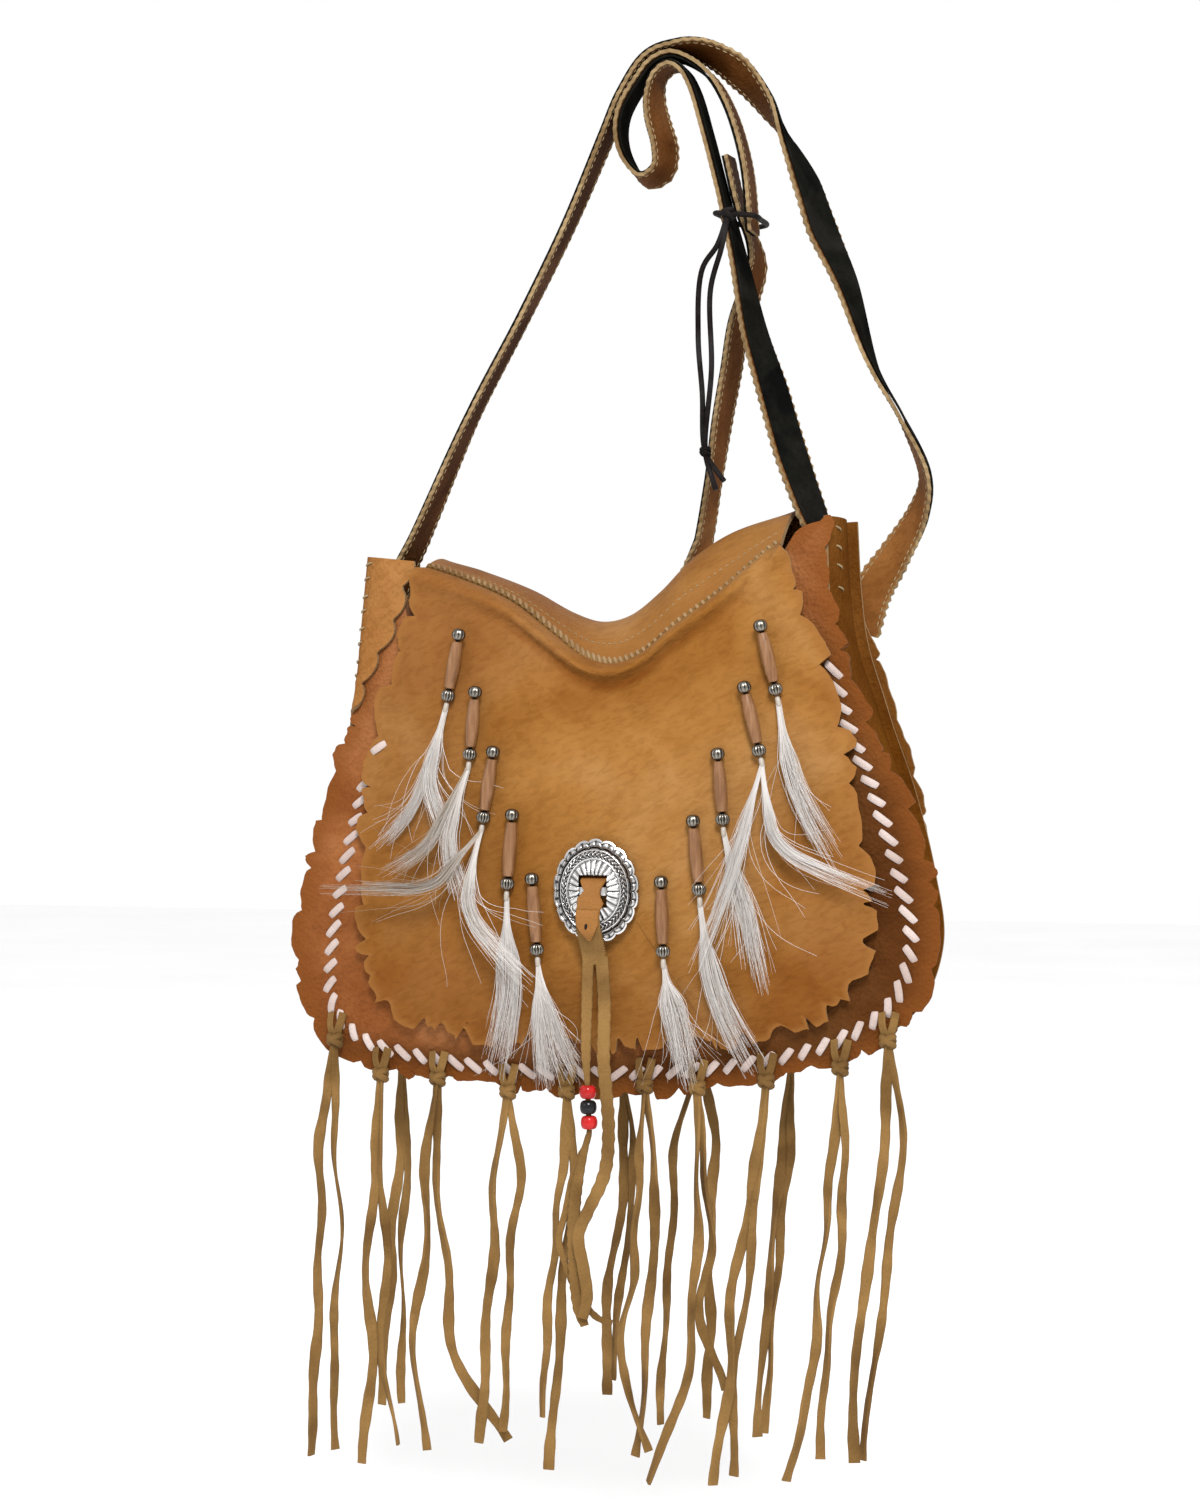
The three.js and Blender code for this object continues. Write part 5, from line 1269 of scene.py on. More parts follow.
band_at, band_way, band_out = strip_surface(BAND_SHARE)
band_tooth = np.where(np.arange(len(seam_x)) % 2 == 0, -BAND_TOOTH, BAND_TOOTH) * PINK_DEPTH
band_body = ribbon(band_at + band_out * BAND_LIFT + band_way * BAND_REACH, band_way, band_out,
                   SEAM_BAND / 2 + band_tooth, BAND_THICKNESS)
make_piece("top_seam_band", *band_body, [SUEDE], "strap_leather")
seam_stitches = Parts()
for i in range(1, len(seam_x) - 1, 2):
    here = band_at[i] + band_out[i] * BRAID_LIFT
    there = here + band_way[i] * BRAID_REACH + (band_at[i + 1] - band_at[i]) * BRAID_LEAN
    start = here - band_way[i] * BAND_REACH
    stitch(seam_stitches, start, there, band_out[i] * BRAID_RISE, BRAID_THICK, 1)
row_at, _, row_out = strip_surface(ROW_SHARE)
for i in range(1, len(seam_x) - 2, 2):
    end = mix(row_at[i], row_at[i + 2], ROW_STITCH)
    stitch(seam_stitches, row_at[i], end, row_out[i] * ROW_RISE, ROW_THICK)

# Hand stitches down the two ears of the gusset
EAR_STITCHES = table("first last count column", (0.006, 0.08, 8, 3), (0.957, 0.994, 4, 6))
EAR_STITCH_REACH = 3.2
EAR_STITCH_RISE = 0.8
EAR_STITCH_THICK = 0.6
EAR_STITCH_SLANT = np.array([0, 0, -0.3])
gusset_normals = vertex_normals(gusset_points, gusset_faces).reshape(gusset_rows.shape)
for first, last, count, column in columns(EAR_STITCHES, "first", "last", "count", "column"):
    column = int(column)
    for share in np.linspace(first, last, int(count)):
        section = int(share * (GUSSET_SECTIONS - 1))
        out = gusset_normals[section, column]
        middle = gusset_rows[section, column] + out * (GUSSET_LEATHER / 2)
        across = unit(gusset_rows[section, column + 1] - gusset_rows[section, column - 1])
        reach = unit(across + EAR_STITCH_SLANT) * EAR_STITCH_REACH
        stitch(seam_stitches, middle - reach, middle + reach, out * EAR_STITCH_RISE, EAR_STITCH_THICK)
seam_stitches.piece("hand_stitches", [THREAD, RAW_TAN], "suede")

# Hair-pipe drops
BEAD_RADIUS = 3.3
BEAD_HALF = 2.9
BEAD_SIDES = 48
BEAD_ROWS = 15
CORE_RADIUS = 1
PIPE_RADIUS = 3.15
PIPE_END_RADIUS = 2.4
PIPE_BORE = 1.4
PIPE_SIDES = 24
PIPE_ROWS = 17
PIPE_SWELL = 1.8
PIPE_ROUNDING = 0.3
PIPE_BEVEL = 0.25
PIPE_PLAY = 0.2
HEAD = table("radius down", (0.4, 0), (1.1, 0.5), (1.3, 2), (1.2, 4.4), (0.5, 5))
ROOT_DOWN = 3
HAIR_STEPS = 20
HAIR_RADIUS = 0.11
STRANDS_IN_WISP = 12
STRAY_SHARE = 0.07
HAIR_TAPER = 0.55
LEAST_WISPS = 6
WISPS_PER_WIDTH = 0.8
ROOT_SPREAD = 0.5
LOCK_SPREAD = 0.42
LOCK_OPENS = (0, 0.45)
WISP_DEPTHS = (0.5, 1.2)
WISP_FAN = 0.22
WISP_BEND = (3, 6)
WISP_REACH = (0.86, 1)
TINT_SPREAD = 0.2
STRAND_REACH = (0.74, 1.04)
STRAND_SIZE = (0.7, 1.2)
STRAND_AWAY = 0.8
STRAND_SWAY = 0.5
STRAND_FAN = 0.5
STRAND_DEPTH = 0.5
TIP_DEPTH = 0.8
STRAY_AWAY = 14
STRAY_SWAY = 5
DROPS = {
    "left_1": (-88, -277.4, -93.3, -306),
    "left_2": (-78.7, -304.5, -81.4, -333.6),
    "left_3": (-69.4, -332.5, -74.1, -363),
    "left_4": (-59.6, -361.8, -61.9, -393.8),
    "left_5": (-49.8, -391.4, -47.3, -424.1),
    "right_1": (56.9, -275, 63.9, -304),
    "right_2": (50, -303, 56.9, -331.8),
    "right_3": (38.3, -333.4, 40.7, -363.2),
    "right_4": (27.1, -364, 29.9, -395.3),
    "right_5": (12, -392, 13, -423.8),
}
DROP_SINK = {"right_5": 0.7}
BEAD_RIBS = table("side ribs depth", (1, 10, 0.1), (-1, 12, 0.2))
LOCK_COLUMNS = "mid_x mid_drop tip_x tip_drop wide lift tint"
LOCKS = {
    "left_1": [(-8, 34, 6, 70, 6, 6, 0.9), (-14, 46, -37, 68, 4, 6, 0.75)],
    "left_2": [(-8, 36, 1, 70, 6, 11, 0.85), (-17, 36, -48, 53, 4, 11, 0.5)],
    "left_3": [(-3, 38, 33, 74, 6, 15, 0.8), (-20, 27, -80, 28, 4, 15, 0.4)],
    "left_4": [(1, 42, -9, 86, 12, 6, 0.9)],
    "left_5": [(1, 36, 4, 62, 12, 10, 0.9), (9, 32, 21, 58, 6, 10, 0.85)],
    "right_1": [(8, 38, 29, 78, 7, 6, 0.9)],
    "right_2": [(9, 38, 60, 60, 5, 11, 0.9), (-9, 42, -30, 98, 6, 11, 0.9)],
    "right_3": [(10, 34, 17, 74, 9, 6, 0.9)],
    "right_4": [(7, 40, 24, 78, 9, 6, 0.9)],
    "right_5": [(5, 26, 12, 58, 14, 7, 0.9)],
}
LOCK_BENDS = table(
    "way_mid way_tip down_mid down_tip",
    (0.45, 0, 0.5, 0), (1, 0, 1, 0), (0.5, 0.5, 0.45, 0.55), (0, 1, 0, 1),
)


def drop_frame(name):
    """The middle of a drop between its two metal beads, its direction up and half its length."""
    top_x, top_z, low_x, low_z = DROPS[name]
    off = max(PIPE_RADIUS, BEAD_RADIUS) + GAP - DROP_SINK.get(name, 0)
    x = np.array([top_x, low_x, (top_x + low_x) / 2])
    z = np.array([top_z, low_z, (top_z + low_z) / 2])
    y = flap_face(x, z).min() - off
    top = np.array([top_x, y, top_z])
    low = np.array([low_x, y, low_z])
    return (top + low) / 2, unit(top - low), np.linalg.norm(top - low) / 2


def fluted_bead(centre_height, ribs, depth):
    """A round bead with ribs along it, its profile from pole to pole."""
    swing = np.linspace(-np.pi / 2, np.pi / 2, BEAD_ROWS)
    radius = np.maximum(BEAD_RADIUS * np.cos(swing) ** 0.7, CORE_RADIUS)
    height = centre_height + BEAD_HALF * np.sin(swing)

    def flute(angles, at_height):
        near = 1 - ((at_height - centre_height) / BEAD_HALF) ** 2
        return 1 - depth * near * (0.5 + 0.5 * np.cos(ribs * angles)) ** 2

    points, faces = turned_body(np.stack([radius, height], axis=1), BEAD_SIDES, flute)
    reach = np.hypot(points[:, 0], points[:, 1])
    expected = np.repeat(radius, BEAD_SIDES)
    return points, faces, 1 - np.clip((expected - reach) / (expected * depth + 1e-6), 0, 1)


def drop_beads(name, middle, up, reach):
    parts = Parts()
    for side, ribs, depth in columns(BEAD_RIBS, "side", "ribs", "depth"):
        points, faces, rise = fluted_bead(side * reach, ribs, depth)
        parts.add(placed(points, middle, up), faces, 0, rise)
    inner = reach - BEAD_HALF * 0.9
    points, faces = turned_body([(CORE_RADIUS, -inner), (CORE_RADIUS, inner)], 10)
    parts.add(placed(points, middle, up), faces, 0, 0.1)
    parts.piece(f"drop_{name}_metal_beads", [DARK_METAL], "antique_metal", f"drop_{name}_beads", "rise")


def drop_pipe(name, middle, up, reach):
    half = reach - BEAD_HALF - GAP - PIPE_PLAY
    share = np.linspace(-1, 1, PIPE_ROWS)
    swell = mix(PIPE_END_RADIUS, PIPE_RADIUS, 1 - np.abs(share) ** PIPE_SWELL)
    profile = [(PIPE_BORE, -half), (PIPE_END_RADIUS - PIPE_ROUNDING, -half)]
    profile += list(zip(swell, share * (half - PIPE_BEVEL)))
    profile += [(PIPE_END_RADIUS - PIPE_ROUNDING, half), (PIPE_BORE, half)]
    points, faces = turned_body(profile, PIPE_SIDES, closed=True)
    points = placed(points, middle, up)
    make_piece(f"drop_{name}_bone_pipe", points, faces, [BONE], "bone", f"drop_{name}_hair_pipe")


def hair_strand(at, radius):
    """A thin three-sided strand through the given points, tapering to its tip."""
    direction = unit(np.gradient(at, axis=0))
    across = unit(np.cross(direction, np.array([0.0, 1, 0])))
    size = radius * (1 - HAIR_TAPER * np.linspace(0, 1, len(at)) ** 2)
    return round_body(at, across, np.cross(direction, across), size, 3)


def lock_route(root, lock):
    """The middle line of a lock of hair from the head to its tip, with its bends eased."""
    x = root[0] + LOCK_BENDS["way_mid"] * lock["mid_x"] + LOCK_BENDS["way_tip"] * lock["tip_x"]
    z = root[2] - LOCK_BENDS["down_mid"] * lock["mid_drop"] - LOCK_BENDS["down_tip"] * lock["tip_drop"]
    route = np.vstack([root, xyz(x, flap_face(x, z) - lock["lift"], z)])
    return corners_cut(corners_cut(route[None]))[0]


def lock_of_hair(parts, root, lock):
    """Strands gathered in a few wisps that fan out to the tip, with some stray hairs."""
    shares = np.linspace(0, 1, HAIR_STEPS)
    route = lock_route(root, lock)
    open_out = smooth(shares, *LOCK_OPENS)
    for _ in range(int(LEAST_WISPS + WISPS_PER_WIDTH * lock["wide"])):
        wisp_lean = rng.uniform(-1, 1)
        wisp_fan = rng.normal(0, WISP_FAN) * lock["wide"]
        wisp_depth = rng.uniform(-1, 1)
        wisp_reach = rng.uniform(*WISP_REACH)
        wisp_bend = rng.uniform(*WISP_BEND)
        wisp_start = rng.uniform(0, TURN)
        for _ in range(STRANDS_IN_WISP):
            stray = rng.random() < STRAY_SHARE
            at, direction = curve_at(route, shares * min(1, wisp_reach * rng.uniform(*STRAND_REACH)))
            across, face = ribbon_frame(direction, np.pi / 2)
            away = rng.normal(0, STRAY_AWAY if stray else STRAND_AWAY) * shares ** 2
            sway = rng.normal(0, STRAY_SWAY if stray else STRAND_SWAY) * shares
            sway = sway * np.sin(shares * wisp_bend + wisp_start)
            fan = wisp_lean * mix(ROOT_SPREAD, lock["wide"] * LOCK_SPREAD, open_out) + wisp_fan * shares ** 2
            fan += rng.normal(0, STRAND_FAN) * (0.6 + open_out) + away + sway
            depth = wisp_depth * mix(*WISP_DEPTHS, open_out)
            depth += rng.normal(0, STRAND_DEPTH) * open_out + rng.normal(0, TIP_DEPTH) * shares ** 2
            line = at + across * fan[:, None] + face * depth[:, None]
            tint = np.clip(lock["tint"] + rng.normal(0, TINT_SPREAD), 0, 1)
            parts.add(*hair_strand(line, HAIR_RADIUS * rng.uniform(*STRAND_SIZE)), 0, tint)


def drop_tassel(name, middle, up, reach):
    parts = Parts()
    top = -reach - BEAD_HALF - GAP
    points, faces = turned_body(np.stack([HEAD["radius"], top - HEAD["down"]], axis=1), 12)
    parts.add(placed(points, middle, up), faces, 0, 0.5)
    root = placed(np.array([[0, 0, top - ROOT_DOWN]]), middle, up)[0]
    for values in LOCKS[name]:
        lock_of_hair(parts, root, dict(zip(LOCK_COLUMNS.split(), values)))
    parts.piece(f"drop_{name}_hair", [HAIR], "horse_hair", f"drop_{name}_tassel", "tint", 60)


for drop_name in DROPS:
    drop_place = drop_frame(drop_name)
    for make_part in (drop_beads, drop_pipe, drop_tassel):
        make_part(drop_name, *drop_place)

# Concho
CONCHO_X = -18.4
CONCHO_Z = -396.4
CONCHO_HALF_WIDTH = 20.5
CONCHO_HALF_HEIGHT = 24
CONCHO_THICKNESS = 1.3
CONCHO_LOBES = 18
CONCHO_PETALS = 13
CONCHO_CHEVRONS = 44
CONCHO_STANDOFF = 2.9
CONCHO_COLUMNS = 360
CONCHO_RINGS = 90
RELIEF_HEIGHT = 0.8
CONCHO_LOBE_DEPTH = 0.06
LOBES_START = (0.7, 1)
HOLLOW_SHINE = 0.08
RELIEF_SHINE = 0.85
SLOT_WIDTH = 13.4
SLOT_HEIGHT = 5.5
SLOT_SPACING = 9.3
SLOT_CUT = 30
SLOT_CUT_Y = -5
CONCHO = table("share height", (0, 6), (0.36, 6.2), (0.58, 4.6), (0.7, 4.9), (0.84, 2.4), (1, 0.4))
PLATE_RIM = (0.27, 0.33)
PETAL_BAND = (0.33, 0.585)
CHEVRON_BAND = (0.655, 0.762)
CHEVRON_MIDDLE = 0.707
CHEVRON_SLANT = 90
DASH_BAND = (0.885, 0.945)
DASH_HEIGHT = 0.62
RAISED_LINES = table("first last", (0.605, 0.64), (0.775, 0.81), (0.845, 0.87), (0.955, 1.1))
concho_height = reader(CONCHO, "share", "height")
concho_face = float(flap_face(CONCHO_X, CONCHO_Z)[0])
concho_back = concho_face - CONCHO_STANDOFF


def concho_relief(share, angle):
    """Chased relief: petals, a ring of chevrons between two lines and a lobed rim with dashes."""
    def band(first, last, soft=0.012):
        return smooth(share, first - soft, first + soft) * (1 - smooth(share, last - soft, last + soft))

    plate = 1 - smooth(share, *PLATE_RIM)
    petals = np.abs(np.sin(angle * CONCHO_PETALS)) ** 0.7 * band(*PETAL_BAND, 0.03)
    lines = sum(band(first, last) for first, last in columns(RAISED_LINES, "first", "last"))
    slant = np.abs(share - CHEVRON_MIDDLE) * CHEVRON_SLANT
    chevrons = (0.5 + 0.5 * np.sin(angle * CONCHO_CHEVRONS + slant)) ** 2 * band(*CHEVRON_BAND)
    dashes = (0.5 + 0.5 * np.cos(angle * CONCHO_LOBES * 2)) ** 3
    rim = DASH_HEIGHT * (1 - dashes) * band(*DASH_BAND)
    return plate + petals + lines + chevrons + rim


def cut_slots(piece):
    """Cut the concho's two slots through it."""
    cutters = []
    for rise in (SLOT_SPACING / 2, -SLOT_SPACING / 2):
        middle = Vector((CONCHO_X, concho_back + SLOT_CUT_Y, CONCHO_Z + rise)) * MM
        bpy.ops.mesh.primitive_cube_add(size=1, location=middle)
        cutter = bpy.context.object
        cutter.scale = Vector((SLOT_WIDTH, SLOT_CUT, SLOT_HEIGHT)) * MM
        cut = piece.modifiers.new("slot", "BOOLEAN")
        cut.object = cutter
        cut.operation = "DIFFERENCE"
        cutters.append(cutter)
    bpy.context.view_layer.update()
    evaluated = piece.evaluated_get(bpy.context.evaluated_depsgraph_get())
    cut_mesh = bpy.data.meshes.new_from_object(evaluated)
    piece.modifiers.clear()
    piece.data = cut_mesh
    for cutter in cutters:
        bpy.data.objects.remove(cutter)


def concho_piece():
    angle = np.arange(CONCHO_COLUMNS) * TURN / CONCHO_COLUMNS
    reach = mix(1 - CONCHO_LOBE_DEPTH, 1, np.abs(np.sin(angle * CONCHO_LOBES / 2)) ** 0.5)
    shares = np.linspace(0, 1, CONCHO_RINGS + 1)[1:]
    share, turn = np.meshgrid(shares, angle, indexing="ij")
    turn = np.concatenate([[0], turn.ravel()])
    relief = concho_relief(np.concatenate([[0], share.ravel()]), turn)
    share = share * mix(1, reach, smooth(share, *LOBES_START))
    share = np.concatenate([[0], share.ravel()])
    x = CONCHO_X + CONCHO_HALF_WIDTH * share * np.cos(turn)
    z = CONCHO_Z + CONCHO_HALF_HEIGHT * share * np.sin(turn)
    low = concho_back - concho_height(share) + CONCHO_THICKNESS / 2
    front = xyz(x, low - CONCHO_THICKNESS - relief * RELIEF_HEIGHT, z)
    both, made, _ = body_between(front, xyz(x, low, z), disc_faces(CONCHO_RINGS, CONCHO_COLUMNS))
    raised = np.clip(HOLLOW_SHINE + relief * RELIEF_SHINE, 0, 1)
    values = {"rise": np.concatenate([raised, raised])}
    return make_piece("concho_silver", both, made, [SILVER], "silver", "concho", values=values, sharp=60)


cut_slots(concho_piece())

# Thong through the concho, its two tails and the pony beads
SUEDE_THICKNESS = 1.5
THONG_CORNER = 0.4
TWIST_START = (0.3, 0.6)
THONG = table(
    "shift z out wide",
    (0, 10.4, 0, 12.2), (0, 6.9, 2.2, 12.4), (0, 4.6, 8.2, 12.2), (0, 2.2, 9.9, 9.6), (0, 0, 10.2, 7.4),
    (-0.4, -2.2, 10.2, 9.6), (-0.8, -4.4, 10.2, 12.8), (-1.6, -7.4, 10.1, 11.2), (-2, -11, 9.9, 11),
    (-1.9, -17.5, 9.2, 11.6), (-1.8, -21, 7, 11.6), (-1.6, -25, 4.6, 11.6), (-1.4, -29, 2.4, 11.6),
    (-1.2, -34, 1.6, 11.2),
)
POINT = table(
    "shift z out wide",
    (-2, -8.6, 10.9, 10.4), (-2, -11, 11.3, 11), (-2, -15.5, 10.8, 10.6), (-1.9, -18.5, 10.2, 7.4),
    (-1.8, -22.5, 7.5, 1.6),
)
LEFT_TAIL = table(
    "x z out wide",
    (-22.6, -427, 1.7, 5.4), (-22.9, -447, 2.6, 5.2), (-22.4, -472, 6, 4.4), (-21.8, -484, 6, 2.4),
    (-21.3, -495.8, 6, 2.4), (-21.2, -510, 6, 2.4), (-25, -518, 6, 2.8), (-28.5, -527, 6, 3),
    (-32.5, -545, 5.5, 3.2), (-35.8, -558, 5, 3.2), (-32.5, -568.5, 5, 3.2), (-27.1, -581, 5, 3.2),
    (-17.4, -592.5, 5, 3), (-10.2, -594.5, 5, 2.6),
)
LOWER_TAIL = table(
    "x z out wide",
    (-21.3, -508.5, 6.2, 2.4), (-26.1, -531, 7.8, 5.4), (-27.7, -548, 8, 6), (-27.1, -570, 8, 6),
    (-25.3, -588, 8, 5.4), (-22.4, -596, 8, 4),
)
RIGHT_TAIL = table(
    "x z out wide",
    (-16.2, -427, 1.7, 6), (-14.6, -447, 2.6, 6), (-14, -474, 6, 6), (-13.2, -484, 6, 6), (-11.6, -507, 6, 6),
    (-13.2, -526, 7.5, 6), (-20.5, -543.5, 10.2, 5.6), (-24.7, -554, 10.6, 5.6), (-22.2, -569.5, 10.6, 5.6),
    (-20.5, -582, 10.6, 5.4), (-22.7, -592, 10.6, 5),
)
PONY_RADIUS = 3.9
PONY_HOLE = 1.75
PONY_HALF = 3.1
PONY_ROWS = 13
PONY_SIDES = 28
PONY_HEIGHTS = (-488.8, -495.8, -502.8)
BAND_ROWS = 9
SLIT = {"x": -2.2, "out": 11.5, "top": -14.6, "low": -17.4, "lean": -0.5, "rise": 0.3, "thick": 0.7}
thong_back = concho_face - GAP - SUEDE_THICKNESS / 2


def thong_route(rows):
    """Points of a strip on the flap; rows with a shift are placed from the concho's middle."""
    if "shift" in rows:
        return xyz(CONCHO_X + rows["shift"], thong_back - rows["out"], CONCHO_Z + rows["z"])
    return xyz(rows["x"], thong_back - rows["out"], rows["z"])


def thong_strip(parts, rows, mark=0, ragged=0.06, twist=0.0, count=60):
    """A strip facing the front through the given rows, with a ragged edge and a slow twist."""
    route = thong_route(rows)
    shares, _ = even_shares(route, count)
    at, direction = curve_at(route, shares)
    turn = np.pi / 2 + twist * np.sin(TURN * shares) * smooth(shares, *TWIST_START)
    across, face = ribbon_frame(direction, turn)
    step = np.arange(count)
    edge = 1 + ragged * np.sin(step * 1.9) + 0.6 * ragged * np.sin(step * 4.3)
    half = column_along(rows["wide"], shares) / 2 * edge
    parts.add(*ribbon(at, across, face, half, SUEDE_THICKNESS, THONG_CORNER), mark)


thong = Parts()
thong_strip(thong, {key: column[:BAND_ROWS] for key, column in THONG.items()}, 1, 0.01)
thong_strip(thong, {key: column[BAND_ROWS - 1:] for key, column in THONG.items()}, 0, 0.03)
thong_strip(thong, POINT, 1, 0.01)
# The slit in the point is a dark sliver: painted shadow in its opening.
slit_top = np.array([CONCHO_X + SLIT["x"], thong_back - SLIT["out"], CONCHO_Z + SLIT["top"]])
slit_low = slit_top + np.array([SLIT["lean"], 0, SLIT["low"] - SLIT["top"]])
stitch(thong, slit_top, slit_low, np.array([0, -SLIT["rise"], 0]), SLIT["thick"], 2)
thong_strip(thong, LEFT_TAIL, count=120)
thong_strip(thong, LOWER_TAIL, twist=0.3)
thong_strip(thong, RIGHT_TAIL, twist=0.4, count=90)
thong.piece("concho_thong_suede", [SUEDE, THONG_TAN, SLIT_SHADOW], "suede", "concho_thong")


def pony_bead(number, height):
    fine, _ = curve_at(thong_route(LEFT_TAIL), np.linspace(0, 1, 400))
    middle = fine[np.argmin(np.abs(fine[:, 2] - height))]
    swing = np.linspace(-np.pi / 2, np.pi / 2, PONY_ROWS)
    radius = mix(PONY_HOLE, PONY_RADIUS, np.cos(swing) ** 0.75)
    profile = np.stack([radius, PONY_HALF * np.sin(swing)], axis=1)
    points, faces = turned_body(profile, PONY_SIDES, closed=True)
    points = points + np.array([middle[0], middle[1], height])
    material, slot = (JET, "black_glass") if number == 2 else (RED, "red_glass")
    make_piece(f"pony_bead_{number}_gloss", points, faces, [material], slot, f"pony_bead_{number}")


for pony_number, pony_height in enumerate(PONY_HEIGHTS, 1):
    pony_bead(pony_number, pony_height)

# Fringe of knotted suede strips: where each knot lies, and the way of its two strips down from it
KNOT_RADIUS = 4
KNOT_WRAPS = 2.4
KNOT_EASE = 0.4
LOOP_RISE = 13
LOOP_HALF_WIDTH = 1.9
LOOP_STEPS = 16
LOOP_BEND = 1.6
LOOP_BEND_RISE = 7
LOOP_BEND_SPREAD = 2.4
LOOP_SPREAD = 3.2
LOOP_THICKNESS = 0.8 * SUEDE_THICKNESS
LOOP_CORNER = 0.4
LOOP_TURN = 0.4
FRINGE_STEPS = 70
FRINGE_SWAY_X = 0.7
FRINGE_SWAY_Y = 1.2
FRINGE_BEATS = (2, 4)
FRINGE_SWING = (30, 75)
FRINGE_SWINGS = (0.8, 1.8)
FRINGE_RAGS = (20, 40)
FRINGE_RAG = 0.12
FRINGE_FRAYS = 97
FRINGE_FRAY = 0.05
FRINGE_SLIM = (0.55, 0.7)
FRINGE_LOOSENS = (0.02, 0.3)
FRINGE_WIDENS = (0, 0.15)
FRINGE_CORNER = 0.45
KNOTS = {
    "front_1": (-154, -471), "front_2": (-131, -487), "front_3": (-102, -488), "front_4": (-67, -493),
    "front_5": (-38, -492), "front_6": (0, -488), "front_7": (25, -488), "front_8": (57.6, -484),
    "front_9": (92, -477), "front_10": (114, -464), "back_1": (-137, -480), "back_2": (-24, -489),
    "back_3": (15, -478), "back_4": (59.5, -480),
}
FRINGE_COLUMNS = "quarter half most end low out wide twist"
FRINGE_STRIPS = {
    "front_1": [(-161, -161, -163, -165, -670, 3, 7, 60), (-154, -152, -156, -155, -668, -4, 6, 100)],
    "front_2": [(-134, -137, -135, -139, -672, 3, 7, 80), (-131, -129, -131, -124, -664, -3, 6, 120)],
    "front_3": [(-108, -108, -114, -106, -664, 2, 7, 70), (-103, -99, -96, -70, -659, -8, 7, 105)],
    "front_4": [(-73, -74, -77, -79, -658, 5, 7, 90), (-61, -66, -67, -69, -653, 1, 6, 60)],
    "front_5": [(-40, -44, -47, -49, -644, 3, 6, 110), (-35, -40, -44, -47, -670, -4, 7, 80)],
    "front_6": [(-3, -5, -11, 2, -657, 1, 6, 70), (5, 2, -1, -6, -662, -7, 7, 100)],
    "front_7": [(26, 25, 21, 4, -669, 10, 7, 90), (28, 31, 26, 37, -628, -5, 6, 120)],
    "front_8": [(52, 43, 41, 34, -669, 6, 7, 80), (54, 49, 43, 42, -666, 1, 6, 60)],
    "front_9": [(88, 83, 79, 68, -666, 3, 7, 100), (94, 91, 85, 82, -656, -3, 6, 80)],
    "front_10": [(112, 107, 99, 100, -655, 3, 7, 70), (121, 114, 108, 102, -655, -3, 6, 110)],
    "back_1": [(-138, -141, -144, -147, -655, -3, 7, 80), (-135, -137, -138, -138, -655, 3, 6, 110)],
    "back_2": [(-23, -26, -32, -30, -643, -3, 7, 90), (-18, -22, -26, -31, -637, 3, 6, 70)],
    "back_3": [(22, 20, 20, 18, -651, -3, 7, 100), (2, 0, -4, -6, -657, 3, 6, 80)],
    "back_4": [(54, 51, 46, 44, -658, -3, 7, 75), (58, 53, 49, 46, -658, 3, 6, 105)],
}


def fringe_strip(parts, knot, way, strip):
    """One hanging strip with its own sway, twist and ragged edge."""
    share = np.linspace(0, 1, FRINGE_STEPS)
    quarters = np.linspace(0, 1, 5)
    across_x = [knot[0], strip["quarter"], strip["half"], strip["most"], strip["end"]]
    hanging = xyz(across_x, knot[1] + way * strip["out"] * quarters, mix(knot[2], strip["low"], quarters))
    at, _ = curve_at(hanging, share)
    beat = rng.uniform(*FRINGE_BEATS)
    start = rng.uniform(0, TURN)
    loose = smooth(share, *FRINGE_LOOSENS)
    at[:, 0] += FRINGE_SWAY_X * np.sin(TURN * beat * share + start) * loose
    at[:, 1] += FRINGE_SWAY_Y * np.cos(TURN * beat * 0.8 * share + start) * loose
    direction = unit(np.gradient(at, axis=0))
    swing = rng.uniform(*FRINGE_SWING) * np.sin(TURN * rng.uniform(*FRINGE_SWINGS) * share + start)
    twist = 90 + (strip["twist"] - 90) * share + swing
    across, face = ribbon_frame(direction, np.radians(twist))
    ragged = 1 + FRINGE_RAG * np.sin(share * rng.uniform(*FRINGE_RAGS) + start)
    ragged += FRINGE_FRAY * np.sin(share * FRINGE_FRAYS + start)
    half = strip["wide"] / 2 * mix(*FRINGE_SLIM, smooth(share, *FRINGE_WIDENS)) * ragged
    parts.add(*ribbon(at, across, face, half, SUEDE_THICKNESS, FRINGE_CORNER))


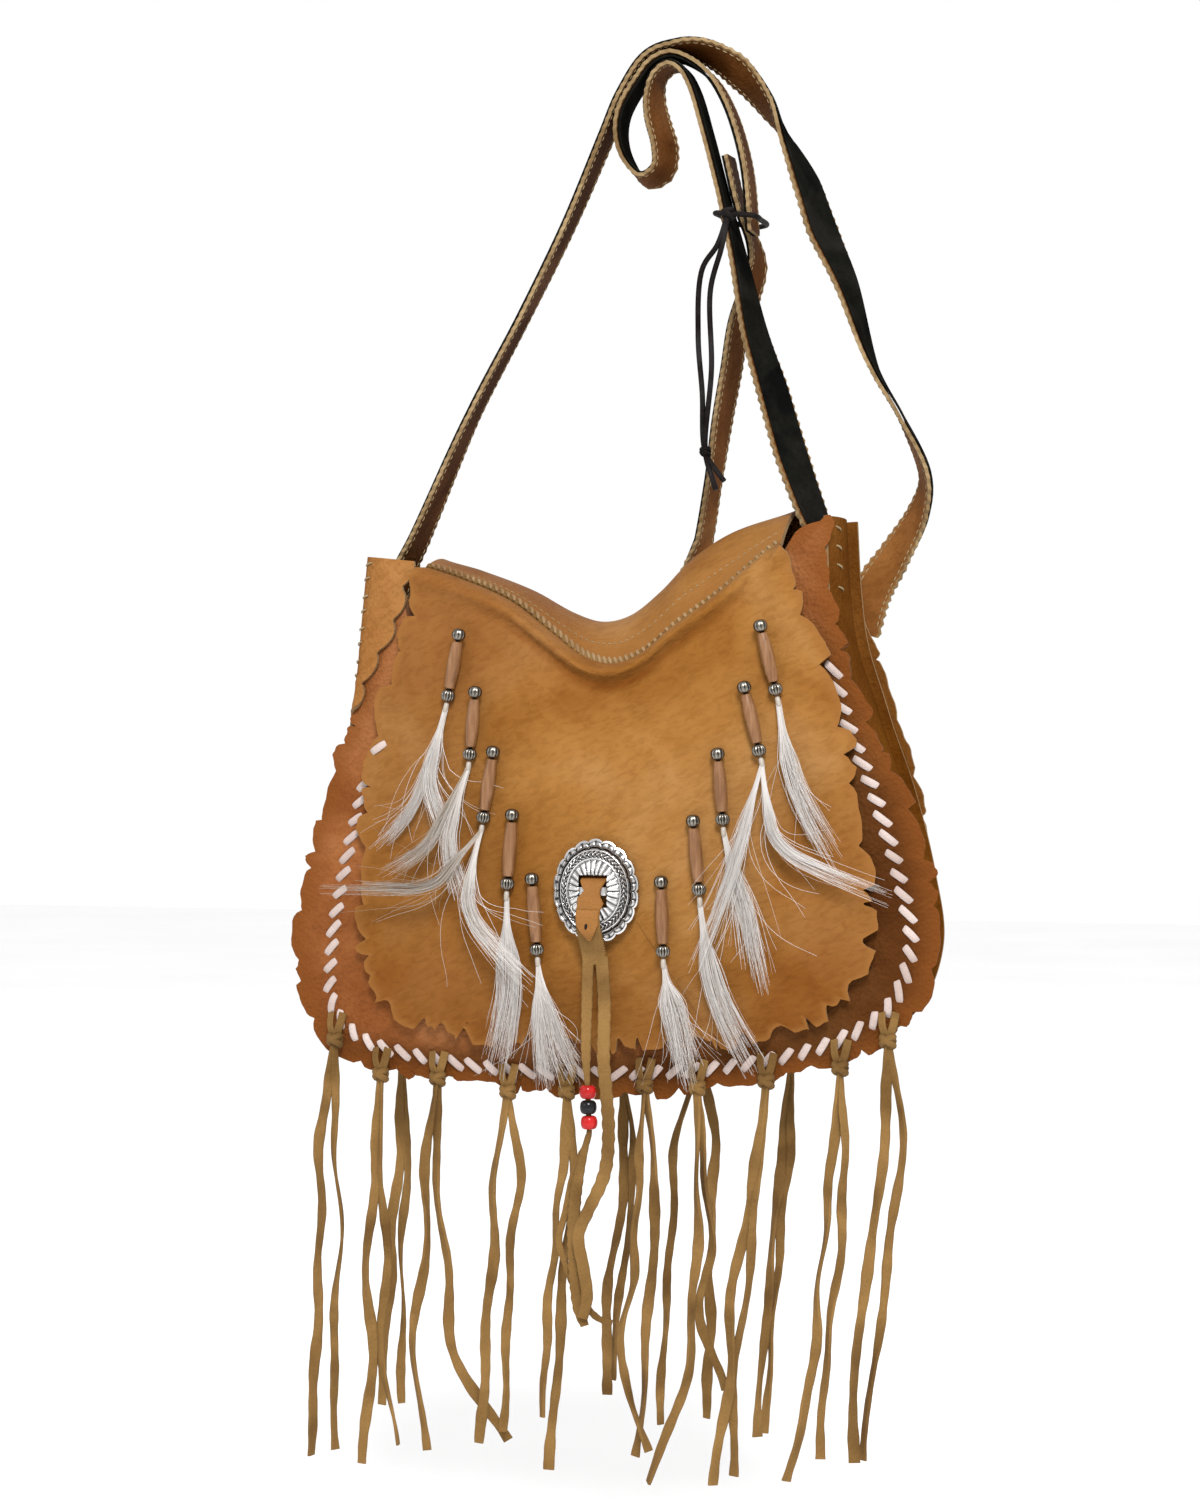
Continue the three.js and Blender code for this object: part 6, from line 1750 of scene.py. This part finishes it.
def fringe_piece(name):
    """A knot on the bag's wall, the two ends that go up into the wall and the two hanging strips."""
    parts = Parts()
    front = name.startswith("front")
    way = -1 if front else 1
    x, z = KNOTS[name]
    standoff = LEATHER / 2 + GAP

    def wall(at_x, at_z):
        return float((front_y if front else back_y)(np.array([at_x]), np.array([at_z]))[0])

    knot = np.array([x, wall(x, z) + way * (standoff + KNOT_EASE + KNOT_RADIUS), z])
    parts.add(*lumpy_knot(knot, KNOT_RADIUS, KNOT_WRAPS))
    top = z + LOOP_RISE
    for side in (-1, 1):
        far_x = x + side * LOOP_SPREAD
        far_y = wall(far_x, top) + way * standoff
        bend_y = mix(knot[1], far_y, 0.5) + way * LOOP_BEND
        bend = [x + side * LOOP_BEND_SPREAD, bend_y, z + LOOP_BEND_RISE]
        at, direction = curve_at(np.array([knot, bend, [far_x, far_y, top]]), np.linspace(0, 1, LOOP_STEPS))
        across, face = ribbon_frame(direction, np.pi / 2 + side * LOOP_TURN)
        parts.add(*ribbon(at, across, face, LOOP_HALF_WIDTH, LOOP_THICKNESS, LOOP_CORNER))
    for values in FRINGE_STRIPS[name]:
        fringe_strip(parts, knot, way, dict(zip(FRINGE_COLUMNS.split(), values)))
    parts.piece(f"fringe_{name}_suede", [SUEDE], "suede", f"fringe_{name}")


for knot_name in KNOTS:
    fringe_piece(knot_name)

# Lights and floor
FLOOR_Z = -780
FLOOR_CORNERS = ((-6, -6), (6, -6), (6, 6), (-6, 6))
floor_mesh = bpy.data.meshes.new("floor")
floor_mesh.from_pydata([(x, y, FLOOR_Z * MM) for x, y in FLOOR_CORNERS], [], [(0, 1, 2, 3)])
floor = bpy.data.objects.new("floor", floor_mesh)
bpy.context.scene.collection.objects.link(floor)
floor_look = Look("pale_floor")
floor_cloud = floor_look.noise(floor_look.place(), 3, detail=3)
floor_colour = floor_look.ramp(floor_cloud, (0.3, 0.93), (0.7, 0.96))
floor_mesh.materials.append(floor_look.done({"Base Color": floor_colour, "Roughness": 0.9}))


def area_light(name, place, energy, size):
    data = bpy.data.lights.new(name, "AREA")
    data.energy = energy
    data.size = size
    light = bpy.data.objects.new(name, data)
    light.location = place
    aim = Vector(CAMERA_TARGET * MM) - light.location
    light.rotation_euler = aim.to_track_quat("-Z", "Y").to_euler()
    bpy.context.scene.collection.objects.link(light)


area_light("key_light", place=(0.6, -1.75, 1.05), energy=72, size=0.6)
area_light("fill_light", place=(-1.4, -1.4, 0.3), energy=5, size=0.9)
world = bpy.data.worlds.new("world")
world.use_nodes = True
world.node_tree.nodes["Background"].inputs["Color"].default_value = (1, 1, 1, 1)
world.node_tree.nodes["Background"].inputs["Strength"].default_value = 1.0
bpy.context.scene.world = world
bpy.context.scene.view_settings.view_transform = "Standard"
